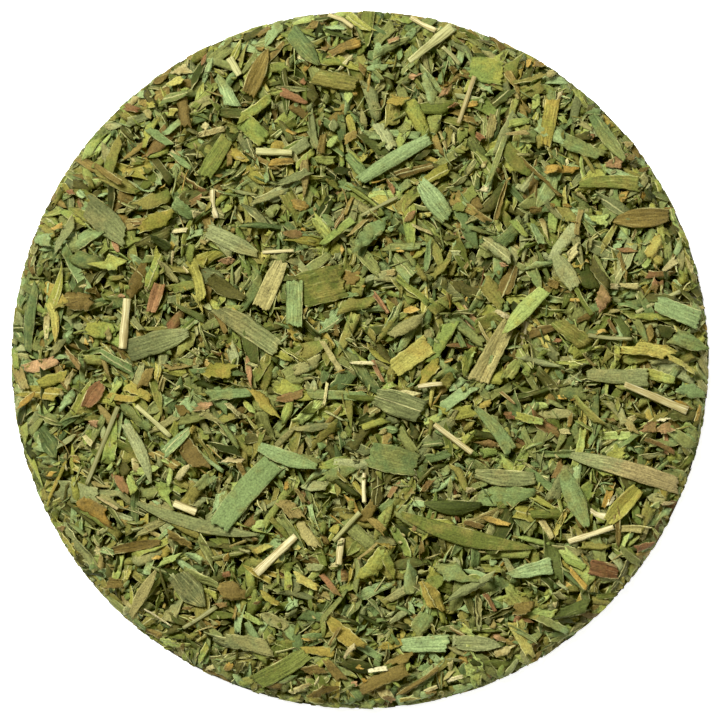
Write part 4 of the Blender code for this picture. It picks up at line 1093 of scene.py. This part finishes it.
LOOSE = [
    (1, "olive", (0.26, 0.26), (0.2, 0.3), 0.4, -0.9, 0.0, 0.05, (0.35, 1.0, 0.1)),
    (2, "two_tone", (0.65, 0.7), (-0.6, 2.4), 0.9, -0.4, 0.0, 0.1, (0.4, 0.95, 0.9)),
    (3, "grey", (0.45, 0.4), (0.3, 0.0), 0.6, 0.0, -0.8, 0.08, (0.3, 1.0, 0.15)),
    (4, "green", (0.6, 0.58), (0.0, 0.0), 0.1, -1.3, 0.0, 0.02, (0.85, 1.0, 0.9)),
    (5, "grey", (-0.1, 0.74), (0.0, 0.0), 0.7, -0.5, 0.0, 0.1, (0.95, 0.95, 0.35)),
    (6, "grey", (0.0, 0.45), (0.2, 0.0), 0.6, -0.2, 0.4, 0.4, (0.8, 1.0, 0.6)),
    (7, "grey", (-0.1, 0.6), (0.8, 0.2), 0.9, 0.3, 0.0, 0.15, (0.5, 1.0, 0.85)),
    (8, "tan", (0.42, 0.62), (-0.4, 0.0), 1.0, 0.2, 0.0, 0.12, (1.05, 1.05, 0.8)),
    (9, "olive", (0.24, 0.1), (0.2, 0.6), 0.9, 0.0, 0.0, 0.08, (1.05, 1.1, 1.05)),
    (10, "green", (0.66, 0.66), (0.2, 0.2), 0.9, -0.4, 0.0, 0.06, (0.9, 0.9, 0.9)),
    (11, "grey", (0.75, 0.62), (0.0, 0.5), 0.8, 0.0, -0.6, 0.2, (0.75, 0.9, 0.35)),
    (12, "olive", (0.5, 0.5), (0.0, 0.3), 0.9, -0.3, 0.0, 0.06, (0.9, 0.95, 0.8)),
    (13, "green", (0.26, 0.05), (0.0, 0.4), 0.6, -0.4, -0.7, 0.2, (0.75, 0.8, 0.1)),
    (14, "brown", (0.35, 0.72), (0.0, 0.0), 0.8, 0.5, 0.6, 0.2, (0.8, 1.0, 0.15)),
    (15, "olive", (0.4, -0.1), (1.0, 0.6), 0.7, -2.4, 0.0, 0.04, (0.75, 0.85, 0.7)),
    (16, "green", (0.0, 0.14), (0.2, 0.4), 0.5, 0.0, -0.8, 0.1, (0.5, 0.9, 0.5)),
    (17, "green", (0.7, 0.85), (0.0, 0.0), 0.5, -1.8, 0.0, 0.04, (0.7, 1.0, 0.8)),
    (18, "green", (1.1, 0.7), (0.2, 0.2), 1.0, -1.2, 0.0, 0.3, (0.5, 1.0, 0.7)),
    (19, "bright", (0.3, 0.15), (0.1, 0.7), 0.3, 0.2, 0.0, 0.06, (0.75, 1.0, 0.9)),
    (20, "yellow", (-0.1, 0.52), (0.4, 0.6), 1.0, -0.3, 0.0, 0.1, (0.7, 0.9, 0.9)),
    (21, "green", (0.26, 0.3), (0.2, 0.9), 0.8, -0.5, 0.0, 0.1, (0.6, 1.0, 0.3)),
    (22, "olive", (0.5, 0.6), (0.3, 0.6), 0.8, -1.2, 0.0, 0.1, (0.4, 0.8, 1.0)),
    (23, "brown", (0.6, 0.5), (0.0, 0.2), 0.9, 0.0, 0.5, 0.2, (0.3, 0.95, 0.6)),
    (24, "tan", (0.56, 0.36), (0.1, 0.0), 1.0, -0.3, 0.8, 0.15, (0.95, 0.8, 0.55)),
    (25, "bright", (0.85, 0.8), (0.2, 0.2), 0.5, -1.2, 0.0, 0.05, (0.2, 0.95, 0.7)),
    (26, "yellow", (0.72, 0.8), (0.2, 0.4), 0.4, 0.3, 0.0, 0.06, (0.8, 0.9, 1.0)),
    (27, "green", (0.8, 0.72), (0.0, 0.0), 0.8, -0.5, 0.0, 0.1, (0.8, 0.95, 1.0)),
    (28, "grey", (0.66, 0.8), (0.1, 0.6), 0.6, -0.7, 0.0, 0.08, (0.4, 0.95, 0.6)),
    (29, "green", (0.42, 0.08), (0.4, 0.6), 0.3, 0.2, 0.0, 0.06, (0.9, 1.0, 0.75)),
    (30, "grey", (0.48, 0.2), (0.0, -0.5), 1.0, -0.4, -0.3, 0.15, (0.6, 1.0, 0.9)),
    (31, "green", (0.68, 0.56), (0.5, 0.5), 0.4, -1.0, 0.0, 0.05, (0.5, 1.0, 0.3)),
    (32, "green", (0.58, 0.62), (0.4, 0.4), 0.5, -0.7, 0.0, 0.08, (0.3, 0.8, 0.95)),
    (33, "grey", (0.5, 0.34), (0.3, 0.4), 1.0, -0.8, 0.0, 0.12, (0.5, 1.0, 0.7)),
    (34, "grey", (0.47, 0.55), (0.6, 0.0), 0.5, -1.4, 0.0, 0.05, (0.5, 0.8, 1.0)),
    (35, "dark", (0.85, 0.15), (-0.4, -0.4), 0.5, -0.6, -0.9, 0.1, (0.2, 1.0, 0.35)),
    (36, "green", (0.95, 0.9), (0.0, 0.2), 0.9, -0.2, 0.0, 0.08, (0.3, 0.85, 1.05)),
    (37, "green", (0.86, 0.86), (-0.4, 0.2), 0.9, -0.3, 0.0, 0.06, (0.7, 0.9, 1.05)),
    (38, "grey", (0.52, 0.78), (-0.4, 0.0), 1.0, -0.9, 0.0, 0.12, (0.75, 1.0, 0.25)),
    (39, "olive", (0.36, 0.7), (0.0, 0.0), 0.9, -0.3, 0.0, 0.1, (1.0, 1.0, 0.85)),
    (40, "tan", (0.32, 0.42), (-0.4, -0.4), 0.6, -0.3, 0.0, 0.12, (0.3, 0.8, 0.15)),
    (41, "grey", (0.02, 0.02), (0.5, 0.5), 1.0, -1.0, 0.0, 0.12, (0.7, 0.95, 0.1)),
    (42, "green", (0.82, 0.58), (0.0, 0.3), 0.3, -0.8, 0.0, 0.05, (0.6, 1.0, 0.3)),
    (43, "grey", (1.15, 0.72), (0.0, 0.0), 0.7, 0.0, -1.1, 0.1, (0.7, 1.0, 0.1)),
    (44, "brown", (0.08, 0.24), (0.0, 0.3), 1.0, 0.6, 0.0, 0.1, (0.6, 0.8, 0.4)),
    (45, "russet", (0.6, 0.45), (0.0, 0.0), 0.5, 0.2, 0.6, 0.2, (0.7, 1.0, 0.9)),
    (46, "russet", (0.22, 0.34), (0.2, 0.0), 0.6, 0.5, 0.5, 0.2, (0.5, 1.0, 0.6)),
    (47, "russet", (0.3, -0.1), (0.0, 0.0), 1.0, 0.2, 0.0, 0.45, (0.8, 0.9, 0.7)),
    (48, "yellow", (0.6, 0.35), (0.0, 0.3), 0.5, 0.0, 0.9, 0.12, (0.6, 1.0, 0.7)),
]
LOOSE_STEPS = (30, 13)
LOOSE_THICKNESS = 0.16
SHARE_OF_LENGTH = 0.985  # of the solid's, so that torn ends stay within it
TEAR_DEPTH, TEAR_SLANT, TEAR_WITHIN = 0.10, 0.2, 9
NARROWING = 1.7
EDGE_WANDER, EDGE_POINTS = 0.035, 13
WAVE_HEIGHT, WAVES = 0.04, 1.7
LIES_OVER = 0.15  # its middle surface, where the last cuttings find its top
RIBBED = (30,)
u, v = np.linspace(-1, 1, LOOSE_STEPS[0])[:, None], np.linspace(-1, 1, LOOSE_STEPS[1])[None]
panel = (v[:, 1:] + v[:, :-1]) / 2
by_number = {cutting.number: cutting for cutting in laid if cutting.kind != "straw"}
for number, finish_kind, tints, ages, streak, roll, fold, pleated, (left, mid, right) in LOOSE:
    cutting = by_number[number]
    torn = rng.normal(0, TEAR_DEPTH, (2, v.size)) + rng.normal(0, TEAR_SLANT, (2, 1)) * v
    tear = np.where(u > 0, torn[1], torn[0]) * cutting.width / 2 * np.abs(u) ** TEAR_WITHIN
    s = sum(cutting.ends) / 2 + cutting.length / 2 * u * SHARE_OF_LENGTH + tear
    half = cutting.width / 2 * (mid + (np.where(u > 0, right, left) - mid) * np.abs(u) ** NARROWING)
    wander = np.interp(u, np.linspace(-1, 1, EDGE_POINTS), rng.normal(0, EDGE_WANDER, EDGE_POINTS))
    off = v * half * (1 + wander * np.abs(v))
    middle = cutting.surface(s, off)
    slopes = rng.normal(0, pleated, (1, panel.size)) + rng.normal(0, 0.25 * pleated, (u.size, panel.size))
    slopes = slopes + roll * panel / 2 + fold * np.sign(panel - rng.uniform(-0.2, 0.2)) / 2
    wave = WAVE_HEIGHT * cutting.width * np.sin(math.pi * WAVES * u + rng.uniform(0, 6)) * v
    middle[..., 2] += wave + chain(np.diff(off, axis=1), slopes, 1)[1]
    looks = [np.array([look]) for look in (tints, ages, 0.0 if number in RIBBED else NO_RIB, streak)]
    sizes = [np.array([size]) for size in (LOOSE_THICKNESS, cutting.length, cutting.width / 2)]
    pieces = Pieces()
    pieces.add_leaves(middle[None], *sizes, looks)
    dressed = pieces.make(f"loose_{cutting.node}", finish_kind)
    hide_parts(cutting.node)
    heap.raise_top(*cutting.cover(LIES_OVER, 0.0))


# ---- The loose stubs of stalk -----------------------------------------------------------------------------
# Round, ribbed sticks of the plant's stalk, about 1 mm thick, dried to straw and chopped at a slant. The
# larger ones lie where the frame has them. The thin ones are rows of tint, place and direction in plan,
# length and thickness.

STICK_SIDES = 14
RIB_DEPTH, RIBS = 0.07, 5
THIN_RINGS = 10
STUB_RINGS = 22
END_GAP = 0.2
STUB_SHARE = 0.97


def add_stick(pieces, line, side, up, radius, length, tint):
    """A profile carried along a line: a ring round each point, and strips of quads over the two ends.

    The rings' radius is the stick's, waved by cosine ribs, and it falls to a tenth in a last ring at each
    end. In its cell of the OFBake map the rings lie side by side, and the ends share a corner."""
    rings, sides = len(line), STICK_SIDES
    angle = np.linspace(0, math.tau, sides, endpoint=False)
    ribs = 1 + RIB_DEPTH * np.cos(RIBS * angle + rng.uniform(0, 6)) + rng.normal(0, 0.02, sides)
    round_it = np.cos(angle)[None, :, None] * side + np.sin(angle)[None, :, None] * up
    ring = line[:, None] + (radius[:, None] * ribs[None])[..., None] * round_it
    ends = [np.repeat(ring[k].mean(0)[None], sides, 0) * 0.9 + ring[k] * 0.1 for k in (0, -1)]
    ring = np.concatenate([ends[0][None], ring, ends[1][None]])
    first, after = ring_points(rings + 1, sides)
    half = np.arange(sides // 2 - 1)
    cap = np.stack([half, sides - 1 - half, sides - 2 - half, half + 1], 1)
    body = np.stack([first, after, after + sides, first + sides], 1)
    faces = np.concatenate([body, cap, cap[:, ::-1] + (rings + 1) * sides])
    corners = np.array([(0, 0), (0, 1), (1, 1), (1, 0)])
    spots = np.stack([first // sides / (rings + 1), first % sides / sides], 1)
    cell = (spots[:, None] + corners / (rings + 1, sides)) * (0.94, 0.84) + (0.03, 0.13)
    caps = np.tile(np.array([[0.03, 0.03], [0.08, 0.03], [0.08, 0.08], [0.03, 0.08]]), (2 * len(half), 1, 1))
    along = np.linspace(-0.5, 0.5, rings + 2)[:, None] * length + rng.uniform(0, 300)
    strip = np.stack(np.broadcast_arrays(along, np.cos(angle)[None] * 1.5), -1).reshape(1, -1, 2)
    number = np.arange(len(faces))
    flat = (number < sides) | (number >= sides * rings)
    marks = np.full((1, (rings + 2) * sides, len(MARKS)), tint, float)
    pieces.add(ring.reshape(1, -1, 3), faces, strip, np.concatenate([cell, caps]), flat, marks)


THIN_STALKS = {
    "straw": [
        (0.7, -20.8, 22.3, -82, 4.1, 0.7), (0.45, 9, 48.1, -29, 4.1, 0.7), (0.5, -2.8, -27.3, -97, 3.8, 1),
        (0.8, 34, -21.9, -21, 3.7, 1), (0.4, 10, -3.6, 7, 3.5, 0.7), (0.65, 0.6, -18.2, -90, 4.2, 0.6),
        (0.5, -11.7, 15.5, 3, 4.5, 0.5), (0.3, -2.8, 48.5, -28, 4, 0.6), (0.5, 23.5, 4.2, 80, 4.2, 1.2),
    ],
    "green_straw": [
        (0.4, 2.7, 21.9, 27, 6, 0.6), (0.3, 35.7, 3.3, -5, 6.3, 0.6), (0.7, -1.9, -23.8, 48, 5.6, 0.7),
        (1, -29.5, -8.7, -42, 6.6, 0.7), (0.3, -22.9, -36.8, -148, 5.7, 0.6),
        (0.8, 13, 43.5, -45, 3.5, 0.6), (0.6, 42.6, 8.3, 26, 7, 0.6),
    ],
}
for kind, rows in THIN_STALKS.items():
    thin = Pieces()
    for tint, x, y, turn, length, width in rows:
        turn = math.radians(turn)
        z, slope, _ = heap.rest(x, y, turn, length, width, 0.0, 0.0, width)
        ends = -length / 2, length / 2
        s = np.linspace(*ends, THIN_RINGS)
        line = np.stack([x + s * math.cos(turn), y + s * math.sin(turn), z + s * slope], 1)
        line += np.interp(s[:, None], [ends[0], 0, ends[1]], [0, rng.normal(0, 0.15), 0]) * (1, 1, 0)
        side = np.array([-math.sin(turn), math.cos(turn), 0.0])
        thick = width / 2 * (1 + np.interp(s, np.linspace(*ends, 5), rng.normal(0, 0.1, 5)))
        add_stick(thin, line, side, np.array([0.0, 0.0, 1.0]), thick, length, tint)
    thin.make(f"thin_{kind}_stalks", kind)

# The frame's stubs by number: finish, tint, thickness at the left and right end, and height over thickness.
STUBS = {
    1: ("straw", 0.55, (1.0, 1.0), 1.0),
    2: ("straw", 0.65, (1.1, 0.8), 0.7),
    3: ("green_straw", 0.95, (1.0, 1.0), 0.9),
    4: ("green_straw", 0.9, (1.0, 0.9), 0.9),
    5: ("straw", 0.6, (1.0, 1.0), 1.0),
    6: ("straw", 0.2, (0.8, 1.1), 0.6),
    7: ("straw", 0.6, (1.0, 0.8), 0.8),
    8: ("straw", 0.3, (0.9, 1.0), 0.9),
    9: ("green_straw", 0.85, (0.6, 1.15), 0.35),
    10: ("straw", 0.0, (0.9, 1.0), 1.0),
    11: ("green_straw", 0.2, (0.9, 1.0), 1.0),
}
for cutting in laid:
    if cutting.kind != "straw":
        continue
    kind, tint, thick_ends, flat = STUBS[cutting.number]
    radius = cutting.half.max() * STUB_SHARE
    s = np.linspace(cutting.ends[0] + END_GAP, cutting.ends[1] - END_GAP, STUB_RINGS)
    line = cutting.surface(s, np.zeros_like(s))
    line[:, 2] += np.interp(s, np.linspace(*cutting.ends, 6), rng.normal(0, 0.04, 6))
    thick = radius * (1 + np.interp(s, np.linspace(*cutting.ends, 7), rng.normal(0, 0.05, 7)))
    thick *= np.interp(s, cutting.ends, thick_ends)
    side, up = np.append(cutting.side, 0.0), np.array([0.0, 0.0, flat])
    pieces = Pieces()
    add_stick(pieces, line, side, up, thick, cutting.length, tint)
    dressed = pieces.make(f"loose_{cutting.node}", kind)
    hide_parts(cutting.node)
    heap.raise_top(*cutting.cover(radius, 0.0))


# ---- A sprinkle on top ------------------------------------------------------------------------------------
# The last small bits, chips and slivers of leaf, shaken down when the rest has settled. They lie on and
# between the others, but not on the loose cuttings.

SPRINKLED = dict.fromkeys(kinds, 0.0) | {
    "green": 0.3, "grey": 0.2, "olive": 0.3, "tan": 0.12, "ochre": 0.05,
}
sprinkle = scatter([
    (260, (1.0, 3.2), (0.5, 1.5), (5, 5), 0.30, 0.10),
    (700, (0.5, 1.7), (0.3, 0.8), (4, 3), 0.40, 0.05),
    (300, (1.2, 5.0), (0.15, 0.4), (6, 3), 0.25, 0.40),
], SPRINKLED, tries=3, band=(0.0, 48.9), over=1.6)
make_cuttings(sprinkle, "sprinkle")
